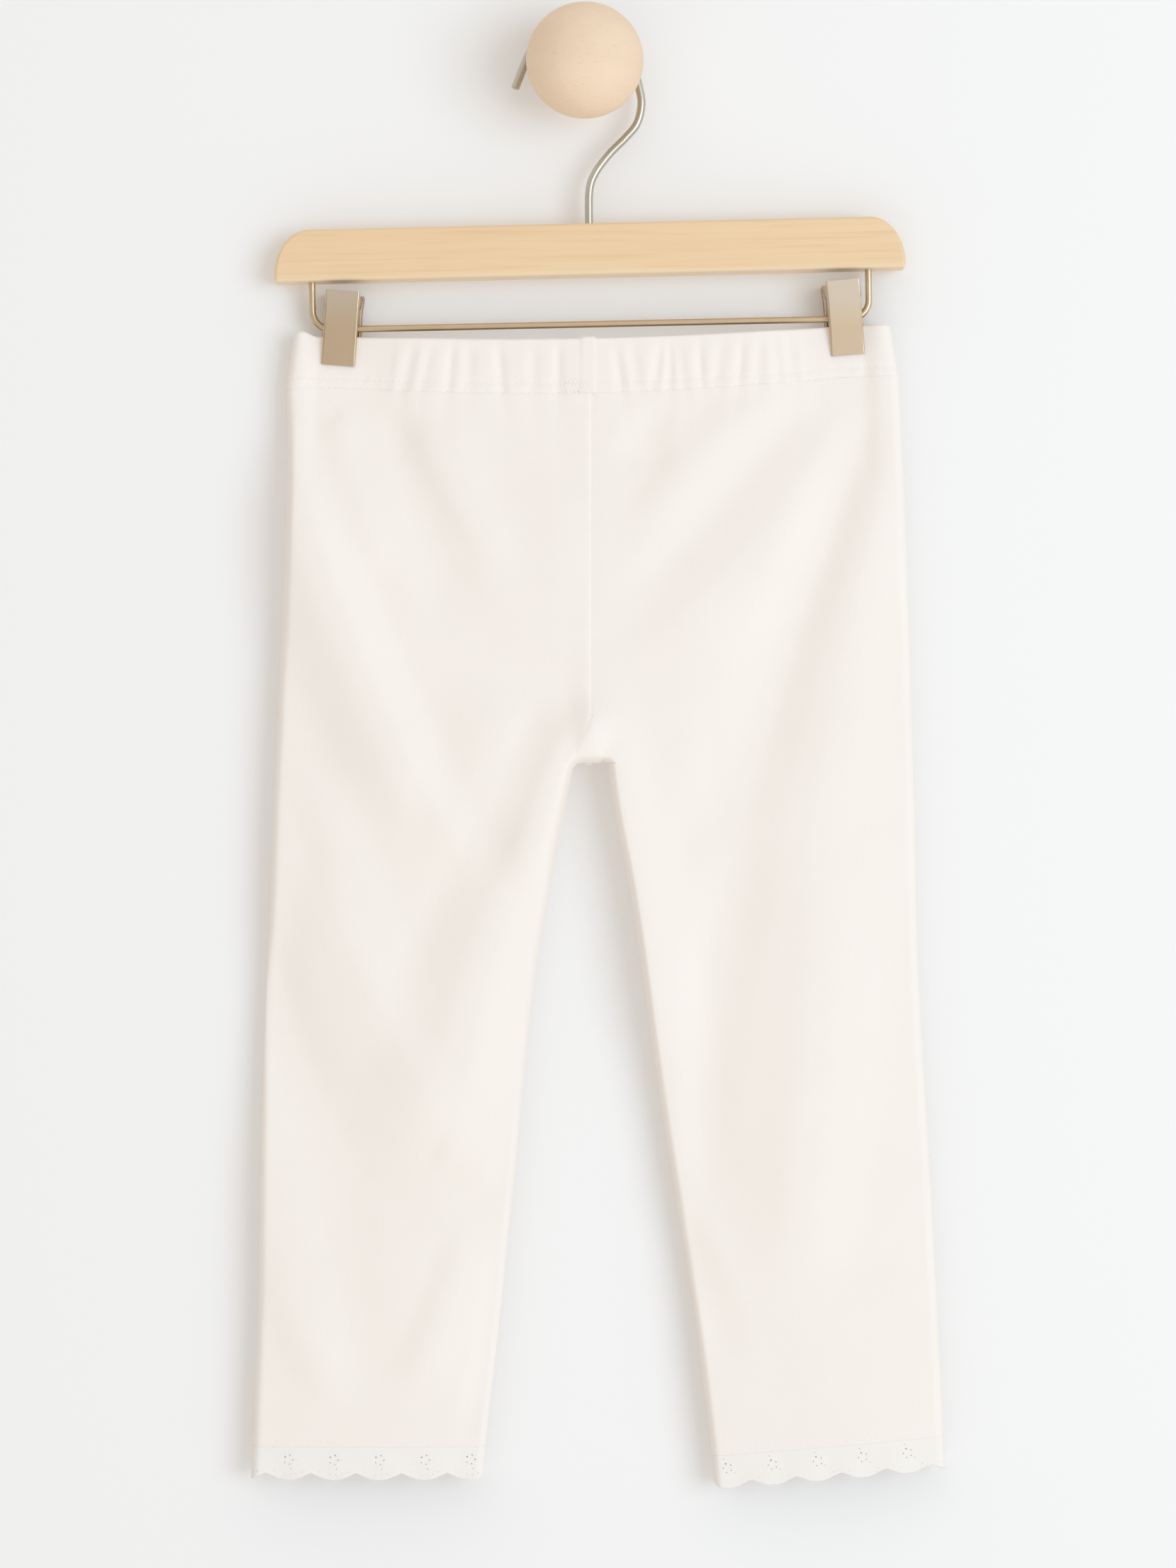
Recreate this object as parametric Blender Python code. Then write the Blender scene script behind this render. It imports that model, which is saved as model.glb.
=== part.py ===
"""Children's capri leggings in white jersey, clipped flat to a wooden hanger that hangs from a wall knob.

Metres, +Z up. The wall is the plane y = 0 and the garment hangs in front of it, towards -Y.
The origin is the centre of the knob's flat back. Left and right are the viewer's, from the front.
"""

import math
from collections import namedtuple

import bmesh
import bpy
import numpy as np
from mathutils import Matrix, Vector

GAP = 0.0003

# Wall knob: a ball on a short neck, turned in one piece
KNOB_BALL_RADIUS = 0.0276
KNOB_NECK_RADIUS = 0.019
KNOB_NECK_LENGTH = 0.0165
KNOB_SEGMENTS = 28
KNOB_RINGS = 11

# Hanger: everything on it lies in one plane and leans by one small angle
HANGER_Y = -0.011
HANGER_TILT = math.radians(1.2)
BAR_CENTRE_X = 0.0020
BAR_TOP_Z = -0.0736
BAR_LENGTH = 0.300
BAR_HEIGHT = 0.0262
BAR_THICKNESS = 0.014
BAR_CORNER_RADIUS = 0.018
BAR_EDGE = 0.0016
SOCKET_DEPTH = 0.012
SOCKET_SLACK = 0.0004

HOOK_WIRE = 0.0039
HOOK_ARC_RADIUS = 0.027
HOOK_ARC_X = -0.0028
HOOK_ARC_START = math.radians(11)
HOOK_ARC_END = math.radians(160)
HOOK_TIP_LENGTH = 0.0140
HOOK_ARC_STEPS = 18
WIRE_SIDES = 2
# The S-bend between the arc and the stem, from the top down
HookBend = namedtuple("HookBend", "x z")
HOOK_BENDS = (
    HookBend(0.0258, -0.0080),
    HookBend(0.0270, -0.0160),
    HookBend(0.0249, -0.0252),
    HookBend(0.0191, -0.0324),
    HookBend(0.0117, -0.0398),
    HookBend(0.0050, -0.0488),
    HookBend(0.0022, -0.0570),
)

ROD_WIRE = 0.0032
ROD_HALF_SPAN = 0.1326
ROD_DROP = 0.0474
ROD_BEND_RADIUS = 0.009
ROD_BEND_STEPS = 6

CLIP_WIDTH = 0.0161
CLIP_HEIGHT = 0.0350
CLIP_PLATE = 0.0010
CLIP_LEVER_SPREAD = 0.0085
CLIP_EAR_TOP = 0.0130
CLIP_EAR_FOOT = 0.0024
CLIP_EAR_INSET = 0.0024
CLIP_EAR_SLACK = 0.0005
CLIP_SPRING_RADIUS = 0.0027
CLIP_SPRING_LENGTH = 0.0060
CLIP_HOLE_REACH = 0.04
Clip = namedtuple("Clip", "name x lean")
CLIPS = (
    Clip("left_clip", -0.1171, math.radians(4.4)),
    Clip("right_clip", 0.1228, math.radians(-5.0)),
)

# Waistband: a casing turned over elastic, its wall two layers of jersey and the elastic
BAND_WALL = 0.0024
BAND_LEFT = -0.1424
BAND_RIGHT = 0.1495
BAND_HEIGHT = 0.0248
BAND_TOP_TAPER = 0.027
BAND_SEAM_Z = -0.1492
BAND_SLOPE = 0.0209
BAND_SAG = 0.0053
BAND_TOP_SAG = 0.0038
BAND_OPEN = 0.0042
BAND_SIDE_OPEN = 0.0026
BAND_OPEN_RUN = 0.034
BAND_SIDE_RUN = 0.009
BAND_TIP_RADIUS = 0.0042
# The left end stands up a little beyond its clip
BAND_LOBE_X = -0.127
BAND_LOBE_RUN = 0.008
BAND_LOBE_LIFT = 0.0026
CLIP_FLAT = 0.0095
# Places of the casing's gathers along the front and the back
FRONT_GATHERS = (
    -0.0868, -0.0780, -0.0655, -0.0554, -0.0395, -0.0247, -0.0128,
    0.0179, 0.0262, 0.0331, 0.0405, 0.0476, 0.0561, 0.0631, 0.0738, 0.0830, 0.0932,
)
BACK_GATHERS = (
    -0.0890, -0.0745, -0.0640, -0.0570, -0.0445, -0.0350, -0.0215, -0.0120,
    0.0150, 0.0240, 0.0345, 0.0420, 0.0525, 0.0640, 0.0700, 0.0815, 0.0925,
)
GATHER_GROOVE = 0.0009
GATHER_PUFF = 0.0008
GATHER_HALF_WIDTH = 0.0019
GATHER_END = 0.008
STRIP_STEP = 0.0002
SEAM_STRIP_LEFT = -0.0034
SEAM_STRIP_RIGHT = 0.0054
SEAM_STRIP_RAISE = 0.0017
# Casing section, from the seam up the outside, over the top and down the inside
BandRow = namedtuple("BandRow", "height side gather")
BAND_ROWS = (
    BandRow(0.00, 1.0, 0.45),
    BandRow(0.28, 1.0, 1.00),
    BandRow(0.62, 1.0, 0.85),
    BandRow(0.93, 0.8, 0.30),
    BandRow(1.00, 0.0, 0.00),
    BandRow(0.93, -0.8, 0.00),
    BandRow(0.00, -1.0, 0.00),
)

# Legs: one wall each, from the centre front round the side to the centre back
JERSEY_WALL = 0.0012
CENTRE_SEAM_X = 0.0033
GUSSET_TOP_Z = -0.3070
GUSSET_MIDDLE_Z = -0.316
CROTCH_Z = -0.3302
CROTCH_ROUND = 0.0090
GUSSET_HALF_WIDTH = 0.0086
GUSSET_POINT = 0.0006
HEM_Z = -0.6545
SIDE_FOLD_RADIUS = 0.0075
INNER_FOLD_RADIUS = 0.0065
FLAT_COLUMNS = 16
FLAT_EDGE = 0.74
SEAM_FADE = 0.130
HEM_FADE = 0.110
WAIST_FADE = 0.075
FOLD_START = 0.020
FOLD_RISE = 0.25
FOLD_FALL = 0.30

Outline = namedtuple("Outline", "z outer inner")
LEFT_OUTLINE = (
    Outline(-0.152, -0.1424, 0.0033),
    Outline(-0.163, -0.1415, 0.0033),
    Outline(-0.203, -0.1421, 0.0033),
    Outline(-0.271, -0.1448, 0.0033),
    Outline(-0.332, -0.1476, -0.0055),
    Outline(-0.352, -0.1485, -0.0095),
    Outline(-0.385, -0.1496, -0.0154),
    Outline(-0.419, -0.1511, -0.0218),
    Outline(-0.453, -0.1525, -0.0262),
    Outline(-0.520, -0.1547, -0.0325),
    Outline(-0.588, -0.1557, -0.0396),
    Outline(-0.655, -0.1583, -0.0472),
    Outline(-0.680, -0.1592, -0.0487),
)
RIGHT_OUTLINE = (
    Outline(-0.152, 0.1495, 0.0033),
    Outline(-0.203, 0.1525, 0.0033),
    Outline(-0.271, 0.1548, 0.0033),
    Outline(-0.332, 0.1566, 0.0121),
    Outline(-0.352, 0.1572, 0.0141),
    Outline(-0.385, 0.1577, 0.0203),
    Outline(-0.419, 0.1586, 0.0256),
    Outline(-0.453, 0.1602, 0.0301),
    Outline(-0.520, 0.1643, 0.0405),
    Outline(-0.588, 0.1680, 0.0520),
    Outline(-0.655, 0.1708, 0.0606),
    Outline(-0.680, 0.1718, 0.0630),
)

# Middle plane and outer half-depth of the hanging cloth below the waist
Depth = namedtuple("Depth", "z middle half")
DEPTHS = (
    Depth(-0.150, -0.0110, 0.0080),
    Depth(-0.190, -0.0118, 0.0088),
    Depth(-0.240, -0.0125, 0.0095),
    Depth(-0.400, -0.0125, 0.0092),
    Depth(-0.550, -0.0124, 0.0090),
    Depth(-0.680, -0.0120, 0.0082),
)

# Largest folds: a line from top to foot, how far its middle bows to the right, how wide it is on
# its left and on its right, and its height, below 0 for a trough
Fold = namedtuple("Fold", "x_top z_top x_foot z_foot bow left right height")
FRONT_FOLDS = (
    Fold(-0.1390, -0.163, -0.0480, -0.371, -0.0172, 0.020, 0.012, 0.0036),
    Fold(-0.1153, -0.158, -0.0670, -0.262, 0.0007, 0.009, 0.012, 0.0018),
    Fold(-0.0770, -0.155, -0.0310, -0.244, -0.0081, 0.011, 0.014, 0.0022),
    Fold(0.0017, -0.309, -0.0377, -0.382, -0.0079, 0.020, 0.009, 0.0024),
    Fold(-0.0170, -0.350, -0.0760, -0.490, -0.0040, 0.014, 0.018, 0.0026),
    Fold(-0.1280, -0.318, -0.0800, -0.466, -0.0112, 0.014, 0.012, 0.0022),
    Fold(-0.1513, -0.410, -0.0800, -0.538, -0.0169, 0.016, 0.016, -0.0028),
    Fold(-0.1198, -0.509, -0.1040, -0.632, -0.0004, 0.010, 0.014, -0.0018),
    Fold(-0.1500, -0.570, -0.1240, -0.634, -0.0026, 0.009, 0.009, -0.0014),
    Fold(-0.0640, -0.540, -0.0920, -0.628, 0.0024, 0.008, 0.009, -0.0016),
    Fold(0.0920, -0.151, 0.0320, -0.209, -0.0001, 0.009, 0.012, 0.0020),
    Fold(0.0973, -0.156, 0.0298, -0.243, 0.0055, 0.009, 0.009, -0.0013),
    Fold(0.1187, -0.156, 0.0280, -0.288, 0.0072, 0.012, 0.020, 0.0030),
    Fold(0.1310, -0.158, 0.0725, -0.374, 0.0015, 0.011, 0.011, -0.0022),
    Fold(0.0720, -0.352, 0.0840, -0.570, -0.0171, 0.013, 0.014, -0.0022),
    Fold(0.1445, -0.163, 0.1070, -0.394, -0.0105, 0.013, 0.024, 0.0026),
    Fold(0.1090, -0.368, 0.0870, -0.572, 0.0075, 0.014, 0.026, 0.0020),
    Fold(0.0090, -0.304, 0.0444, -0.522, 0.0060, 0.008, 0.019, 0.0028),
    Fold(0.0440, -0.540, 0.0800, -0.608, -0.0009, 0.009, 0.012, -0.0014),
)
BACK_FOLDS = (
    Fold(-0.1360, -0.162, -0.0500, -0.350, -0.0075, 0.016, 0.012, -0.0024),
    Fold(-0.1060, -0.158, -0.0520, -0.268, 0.0026, 0.010, 0.012, 0.0016),
    Fold(-0.0700, -0.165, -0.0100, -0.300, 0.0037, 0.011, 0.011, -0.0020),
    Fold(-0.1220, -0.326, -0.0700, -0.500, -0.0011, 0.014, 0.012, -0.0022),
    Fold(-0.0220, -0.352, -0.0720, -0.500, -0.0016, 0.010, 0.014, 0.0018),
    Fold(-0.1420, -0.480, -0.0840, -0.632, -0.0042, 0.012, 0.012, -0.0020),
    Fold(0.1220, -0.158, 0.0460, -0.330, 0.0061, 0.013, 0.012, -0.0024),
    Fold(0.0880, -0.156, 0.0200, -0.262, -0.0015, 0.010, 0.012, 0.0016),
    Fold(0.0200, -0.318, 0.0700, -0.520, 0.0012, 0.012, 0.012, -0.0020),
    Fold(0.1380, -0.296, 0.1000, -0.560, 0.0013, 0.014, 0.016, -0.0022),
    Fold(0.1460, -0.470, 0.1100, -0.640, 0.0069, 0.012, 0.012, 0.0014),
)

# Heights of the legs' rings: the body's down from the waist seam, and the legs' own
BODY_ROWS = (
    -0.1498, -0.159, -0.173, -0.192, -0.212, -0.232, -0.252, -0.272, -0.290,
    GUSSET_TOP_Z + 0.0008, GUSSET_TOP_Z, GUSSET_MIDDLE_Z,
)
CROTCH_ROWS = (0.0090, 0.0045, 0.0015)
LEG_ROWS = 14
FIRST_LEG_ROW = 0.012

Leg = namedtuple("Leg", "name lace side outline hem_slope")
LEGS = (
    Leg("left_leg", "left_lace", -1, LEFT_OUTLINE, 0.0),
    Leg("right_leg", "right_lace", 1, RIGHT_OUTLINE, 0.085),
)

# Lace trim: a scalloped edging that hangs below each hem
LACE_WALL = 0.0010
LACE_HEIGHT = 0.0195
LACE_SCALLOPS = 11
LACE_SCALLOP_DEPTH = 0.0032
LACE_COLUMNS = 4


def clear_scene():
    for obj in list(bpy.data.objects):
        bpy.data.objects.remove(obj, do_unlink=True)


def finish(name, colour, roughness, metallic=0.0):
    """A plain material with one colour, roughness and metallic value."""
    material = bpy.data.materials.new(name)
    material.use_nodes = True
    shader = material.node_tree.nodes["Principled BSDF"]
    shader.inputs["Base Color"].default_value = (*colour, 1.0)
    shader.inputs["Roughness"].default_value = roughness
    shader.inputs["Metallic"].default_value = metallic
    return material


def add_object(name, points, faces, material, smooth_angle=40):
    """A mesh object from points and faces, smooth where it bends by less than the angle."""
    mesh = bpy.data.meshes.new(name)
    mesh.from_pydata([tuple(p) for p in points], [], faces)
    mesh.validate()
    mesh.shade_smooth()
    mesh.set_sharp_from_angle(angle=math.radians(smooth_angle))
    mesh.materials.append(material)
    obj = bpy.data.objects.new(name, mesh)
    bpy.context.scene.collection.objects.link(obj)
    return obj


def add_helper(name, mesh_source):
    """A cutting or joining shape that is left out of the model itself."""
    obj = bpy.data.objects.new(name, mesh_source)
    bpy.context.scene.collection.objects.link(obj)
    obj.hide_render = True
    obj.display_type = "WIRE"
    return obj


def cylinder_mesh(name, radius, length, segments, axis="Z"):
    mesh = bpy.data.meshes.new(name)
    form = bmesh.new()
    bmesh.ops.create_cone(
        form, cap_ends=True, segments=segments, radius1=radius, radius2=radius, depth=length
    )
    if axis == "X":
        bmesh.ops.rotate(form, verts=form.verts, matrix=Matrix.Rotation(math.pi / 2, 3, "Y"))
    form.to_mesh(mesh)
    form.free()
    return mesh


def boolean(obj, other, operation):
    modifier = obj.modifiers.new(operation.title(), "BOOLEAN")
    modifier.operation = operation
    modifier.object = other
    modifier.solver = "EXACT"


def to_hanger(x, z, y=0.0):
    """A point of the hanger's own upright frame, whose origin is the middle of the bar's top."""
    lean = Matrix.Rotation(-HANGER_TILT, 3, "Y")
    return lean @ Vector((x, y, z)) + Vector((BAR_CENTRE_X, HANGER_Y, BAR_TOP_Z))


def tube(name, points, diameter, material):
    """A wire along the points, as a curve with a round bevel and closed ends."""
    curve = bpy.data.curves.new(name, "CURVE")
    curve.dimensions = "3D"
    curve.bevel_depth = diameter / 2
    curve.bevel_resolution = WIRE_SIDES
    curve.use_fill_caps = True
    spline = curve.splines.new("POLY")
    spline.points.add(len(points) - 1)
    for point, place in zip(spline.points, points):
        point.co = (*place, 1.0)
    curve.materials.append(material)
    obj = bpy.data.objects.new(name, curve)
    bpy.context.scene.collection.objects.link(obj)
    return obj


def smooth_through(points, steps):
    """Points on a smooth curve through the given ones."""
    path = [Vector(p) for p in points]
    path = [2 * path[0] - path[1]] + path + [2 * path[-1] - path[-2]]
    out = []
    for a, b, c, d in zip(path, path[1:], path[2:], path[3:]):
        for step in range(steps):
            t = step / steps
            out.append(
                0.5 * (2 * b + (c - a) * t + (2 * a - 5 * b + 4 * c - d) * t**2
                       + (3 * b - a - 3 * c + d) * t**3)
            )
    return out + [path[-2]]


def build_knob(wood):
    """A ball on a neck with a flat back, turned about the Y axis."""
    reach = math.sqrt(KNOB_BALL_RADIUS**2 - KNOB_NECK_RADIUS**2)
    centre = KNOB_NECK_LENGTH + reach
    first = math.pi - math.asin(KNOB_NECK_RADIUS / KNOB_BALL_RADIUS)
    profile = [(0.0, KNOB_NECK_RADIUS)]
    for i in range(KNOB_RINGS):
        angle = first * (1 - i / KNOB_RINGS)
        profile.append((
            centre + KNOB_BALL_RADIUS * math.cos(angle),
            KNOB_BALL_RADIUS * math.sin(angle),
        ))
    points = []
    for depth, radius in profile:
        for k in range(KNOB_SEGMENTS):
            turn = 2 * math.pi * k / KNOB_SEGMENTS
            points.append((radius * math.cos(turn), -depth, radius * math.sin(turn)))
    points.append((0.0, -(centre + KNOB_BALL_RADIUS), 0.0))
    tip = len(points) - 1
    faces = [tuple(range(KNOB_SEGMENTS))]
    for ring in range(len(profile) - 1):
        for k in range(KNOB_SEGMENTS):
            a = ring * KNOB_SEGMENTS + k
            b = ring * KNOB_SEGMENTS + (k + 1) % KNOB_SEGMENTS
            faces.append((a, a + KNOB_SEGMENTS, b + KNOB_SEGMENTS, b))
    last = (len(profile) - 1) * KNOB_SEGMENTS
    for k in range(KNOB_SEGMENTS):
        faces.append((last + k, tip, last + (k + 1) % KNOB_SEGMENTS))
    knob = add_object("wall_knob", points, faces, wood)
    face_outwards(knob)


def face_outwards(obj):
    form = bmesh.new()
    form.from_mesh(obj.data)
    bmesh.ops.recalc_face_normals(form, faces=form.faces)
    form.to_mesh(obj.data)
    form.free()


def build_bar(wood):
    """A flat bar with quarter-round upper corners and softened edges, with three sockets for the wires."""
    half = BAR_LENGTH / 2
    corner_x = half - BAR_CORNER_RADIUS
    corner_z = -BAR_CORNER_RADIUS
    outline = [(-half, -BAR_HEIGHT), (half, -BAR_HEIGHT)]
    for i in range(7):
        angle = math.pi / 2 * i / 6
        outline.append((
            corner_x + BAR_CORNER_RADIUS * math.cos(angle),
            corner_z + BAR_CORNER_RADIUS * math.sin(angle),
        ))
    for i in range(7):
        angle = math.pi / 2 * (1 + i / 6)
        outline.append((
            -corner_x + BAR_CORNER_RADIUS * math.cos(angle),
            corner_z + BAR_CORNER_RADIUS * math.sin(angle),
        ))
    count = len(outline)
    points = [(x, -BAR_THICKNESS / 2, z) for x, z in outline]
    points += [(x, BAR_THICKNESS / 2, z) for x, z in outline]
    faces = [tuple(range(count)), tuple(reversed(range(count, 2 * count)))]
    for i in range(count):
        j = (i + 1) % count
        faces.append((i, i + count, j + count, j))
    bar = add_object("hanger_bar", points, faces, wood)
    face_outwards(bar)
    bar.location = to_hanger(0, 0)
    bar.rotation_euler = (0, -HANGER_TILT, 0)
    bevel = bar.modifiers.new("Edges", "BEVEL")
    bevel.width = BAR_EDGE
    bevel.segments = 2
    bevel.limit_method = "ANGLE"
    bevel.angle_limit = math.radians(50)
    sockets = (
        ("hook_socket", 0.0, -SOCKET_DEPTH / 2, HOOK_WIRE),
        ("left_rod_socket", -ROD_HALF_SPAN, -BAR_HEIGHT + SOCKET_DEPTH / 2, ROD_WIRE),
        ("right_rod_socket", ROD_HALF_SPAN, -BAR_HEIGHT + SOCKET_DEPTH / 2, ROD_WIRE),
    )
    for name, x, z, wire in sockets:
        mesh = cylinder_mesh(name, wire / 2 + SOCKET_SLACK, SOCKET_DEPTH * 1.2, 16)
        cutter = add_helper(name, mesh)
        outward = 0.1 * SOCKET_DEPTH if z > -BAR_HEIGHT / 2 else -0.1 * SOCKET_DEPTH
        cutter.location = to_hanger(x, z + outward)
        cutter.rotation_euler = (0, -HANGER_TILT, 0)
        boolean(bar, cutter, "DIFFERENCE")


def build_hook(metal):
    """A bent wire: stem, S-bend, an arc over the knob's neck and a short straight tip."""
    inner_radius = HOOK_ARC_RADIUS - HOOK_WIRE / 2
    drop = inner_radius - KNOB_NECK_RADIUS - GAP
    arc_z = -math.sqrt(drop**2 - HOOK_ARC_X**2)
    arc = []
    for i in range(HOOK_ARC_STEPS + 1):
        angle = HOOK_ARC_START + (HOOK_ARC_END - HOOK_ARC_START) * i / HOOK_ARC_STEPS
        arc.append(Vector((
            HOOK_ARC_X + HOOK_ARC_RADIUS * math.cos(angle),
            HANGER_Y,
            arc_z + HOOK_ARC_RADIUS * math.sin(angle),
        )))
    heading = Vector((-math.sin(HOOK_ARC_END), 0, math.cos(HOOK_ARC_END)))
    tip = arc[-1] + heading * HOOK_TIP_LENGTH
    foot = to_hanger(0, -SOCKET_DEPTH + GAP)
    mouth = to_hanger(0, 0.004)
    bends = [Vector((bend.x, HANGER_Y, bend.z)) for bend in HOOK_BENDS]
    lower = smooth_through([arc[0]] + bends + [mouth], 3)
    tube("hanger_hook", [foot] + lower[::-1] + arc[1:] + [tip], HOOK_WIRE, metal)


def build_rod(metal):
    """A wire bent into a wide U below the bar, with both ends let into its underside."""
    top = -BAR_HEIGHT + SOCKET_DEPTH - GAP
    left, right = [], []
    for i in range(ROD_BEND_STEPS + 1):
        angle = math.pi / 2 * i / ROD_BEND_STEPS
        x = ROD_HALF_SPAN - ROD_BEND_RADIUS * (1 - math.cos(angle))
        z = -ROD_DROP + ROD_BEND_RADIUS * (1 - math.sin(angle))
        right.append(to_hanger(x, z))
        left.append(to_hanger(-x, z))
    ends = to_hanger(-ROD_HALF_SPAN, top), to_hanger(ROD_HALF_SPAN, top)
    run = [to_hanger(x * (ROD_HALF_SPAN - ROD_BEND_RADIUS), -ROD_DROP) for x in (-0.5, 0, 0.5)]
    tube("clip_rod", [ends[0]] + left + run + right[::-1] + [ends[1]], ROD_WIRE, metal)


def plate_mesh(name, face, spread, ears_inside):
    """One clip plate with its side flanges and two ears, in the clip's own frame: pivot at the origin.

    face is -1 for the front plate and 1 for the back plate. The plate leans from the jaw at the
    bottom, where it grips the cloth, to the lever at the top, which stands off by the spread.
    """
    jaw = BAND_WALL + GAP / 2 + GAP
    half = CLIP_HEIGHT / 2
    width = CLIP_WIDTH / 2

    def stand_off(z):
        return jaw + (spread - jaw) * (z + half) / (2 * half)

    form = bmesh.new()

    def slab(x0, x1, profile):
        ring0 = [form.verts.new((x0, face * y, z)) for y, z in profile]
        ring1 = [form.verts.new((x1, face * y, z)) for y, z in profile]
        form.faces.new(ring0)
        form.faces.new(ring1[::-1])
        for i in range(len(profile)):
            j = (i + 1) % len(profile)
            form.faces.new((ring0[j], ring0[i], ring1[i], ring1[j]))

    low, high = stand_off(-half), stand_off(half)
    plate = [
        (low, -half), (low + CLIP_PLATE, -half), (high + CLIP_PLATE, half), (high, half),
    ]
    slab(-width, width, plate)
    panel = bpy.data.meshes.new(name)
    bmesh.ops.recalc_face_normals(form, faces=form.faces)
    form.to_mesh(panel)
    form.clear()
    inset = CLIP_EAR_INSET + (CLIP_PLATE + GAP if ears_inside else 0.0)
    reach = stand_off(CLIP_EAR_TOP) + 0.5 * CLIP_PLATE
    near = stand_off(-CLIP_EAR_FOOT) + 0.5 * CLIP_PLATE
    ear = [(near, -CLIP_EAR_FOOT), (-CLIP_EAR_FOOT, -CLIP_EAR_FOOT), (-CLIP_EAR_FOOT, CLIP_EAR_FOOT)]
    ear += [(reach - 0.002, CLIP_EAR_TOP), (reach, CLIP_EAR_TOP)]
    for side in (-1, 1):
        outer = side * (width - inset)
        slab(*sorted((outer, outer - side * CLIP_PLATE)), ear)
    bmesh.ops.recalc_face_normals(form, faces=form.faces)
    ears = bpy.data.meshes.new(name + "_ears")
    form.to_mesh(ears)
    form.free()
    return panel, ears


def build_clip(clip, metal, spring_metal):
    """A spring clip on the rod: two leaning plates with ears round the rod, and a coil between them."""
    along = (clip.x - BAR_CENTRE_X) / math.cos(HANGER_TILT)
    pivot = to_hanger(along, -ROD_DROP)
    for part, face, ears_inside in (("front", -1, True), ("back", 1, False)):
        name = f"{clip.name}_{part}"
        panel, ears = plate_mesh(name, face, CLIP_LEVER_SPREAD, ears_inside)
        panel.materials.append(metal)
        plate = bpy.data.objects.new(name, panel)
        bpy.context.scene.collection.objects.link(plate)
        ear_pair = add_helper(name + "_ears", ears)
        bore = ROD_WIRE / 2 + CLIP_EAR_SLACK
        hole = add_helper(name + "_hole", cylinder_mesh(name + "_hole", bore, CLIP_HOLE_REACH, 16, "X"))
        for obj in (plate, ear_pair, hole):
            obj.location = pivot
            obj.rotation_euler = (0, clip.lean, 0)
        hole.rotation_euler = (0, -HANGER_TILT, 0)
        boolean(plate, ear_pair, "UNION")
        boolean(plate, hole, "DIFFERENCE")
    name = f"{clip.name}_spring"
    coil = bpy.data.objects.new(
        name, cylinder_mesh(name, CLIP_SPRING_RADIUS, CLIP_SPRING_LENGTH, 16, "X")
    )
    coil.data.materials.append(spring_metal)
    bpy.context.scene.collection.objects.link(coil)
    bore = add_helper(
        name + "_bore",
        cylinder_mesh(name + "_bore", ROD_WIRE / 2 + GAP, CLIP_HOLE_REACH, 16, "X"),
    )
    for obj in (coil, bore):
        obj.location = pivot
        obj.rotation_euler = (0, -HANGER_TILT, 0)
    boolean(coil, bore, "DIFFERENCE")


def ease(t):
    """0 below 0, 1 above 1, and a soft step between."""
    t = min(max(t, 0.0), 1.0)
    return t * t * (3 - 2 * t)


def read(table, column, z):
    """A column of a table whose rows run downwards, read at the height z."""
    heights = [-row.z for row in table]
    return float(np.interp(-z, heights, [getattr(row, column) for row in table]))


def band_opening(x):
    """How far the middle of the band's wall stands off the middle plane, before its end folds."""
    left, right = CLIPS[0].x, CLIPS[1].x
    shut = BAND_WALL / 2 + GAP / 2
    between = ease((x - left - CLIP_FLAT) / BAND_OPEN_RUN) * ease((right - CLIP_FLAT - x) / BAND_OPEN_RUN)
    sides = ease((left - CLIP_FLAT - x) / BAND_SIDE_RUN) + ease((x - right - CLIP_FLAT) / BAND_SIDE_RUN)
    return shut + BAND_OPEN * between + BAND_SIDE_OPEN * sides


def band_slant(x, share=0.0):
    """How far the band's line leans and sags at x, from its seam at share 0 to its top edge at 1."""
    middle = (CLIPS[0].x + CLIPS[1].x) / 2
    reach = (CLIPS[1].x - CLIPS[0].x) / 2
    sag = BAND_SAG + (BAND_TOP_SAG - BAND_SAG) * share
    lobe = BAND_LOBE_LIFT * share * ease((BAND_LOBE_X - x) / BAND_LOBE_RUN)
    return BAND_SLOPE * (x - middle) - sag * max(0.0, 1 - ((x - middle) / reach) ** 2) + lobe


def gather_height(x, front):
    """Groove at each gather and a puff between two of them, along the band's outer face."""
    places = FRONT_GATHERS if front else BACK_GATHERS
    if x < places[0] - GATHER_END or x > places[-1] + GATHER_END:
        return 0.0
    nearest = min(abs(x - place) for place in places)
    return GATHER_PUFF - (GATHER_GROOVE + GATHER_PUFF) * math.exp(-((nearest / GATHER_HALF_WIDTH) ** 2))


def band_columns(front):
    """Places along the band where its outer face needs a point, between its two end folds."""
    places = FRONT_GATHERS if front else BACK_GATHERS
    columns = set()
    for place in places:
        columns.update((place - 1.1 * GATHER_HALF_WIDTH, place, place + 1.1 * GATHER_HALF_WIDTH))
    for a, b in zip(places, places[1:]):
        if b - a > 6 * GATHER_HALF_WIDTH:
            columns.add((a + b) / 2)
    for clip in CLIPS:
        for step in (-CLIP_FLAT - BAND_SIDE_RUN / 2, -CLIP_FLAT, 0.0, CLIP_FLAT):
            columns.add(clip.x + step)
    columns.add(CLIPS[0].x + 2 * CLIP_FLAT)
    columns.add(CLIPS[1].x - 2 * CLIP_FLAT)
    columns.add(CLIPS[1].x + CLIP_FLAT + BAND_SIDE_RUN / 2)
    for edge in (SEAM_STRIP_LEFT, SEAM_STRIP_RIGHT):
        columns.update((edge - STRIP_STEP, edge + STRIP_STEP))
    return sorted(columns)


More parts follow.
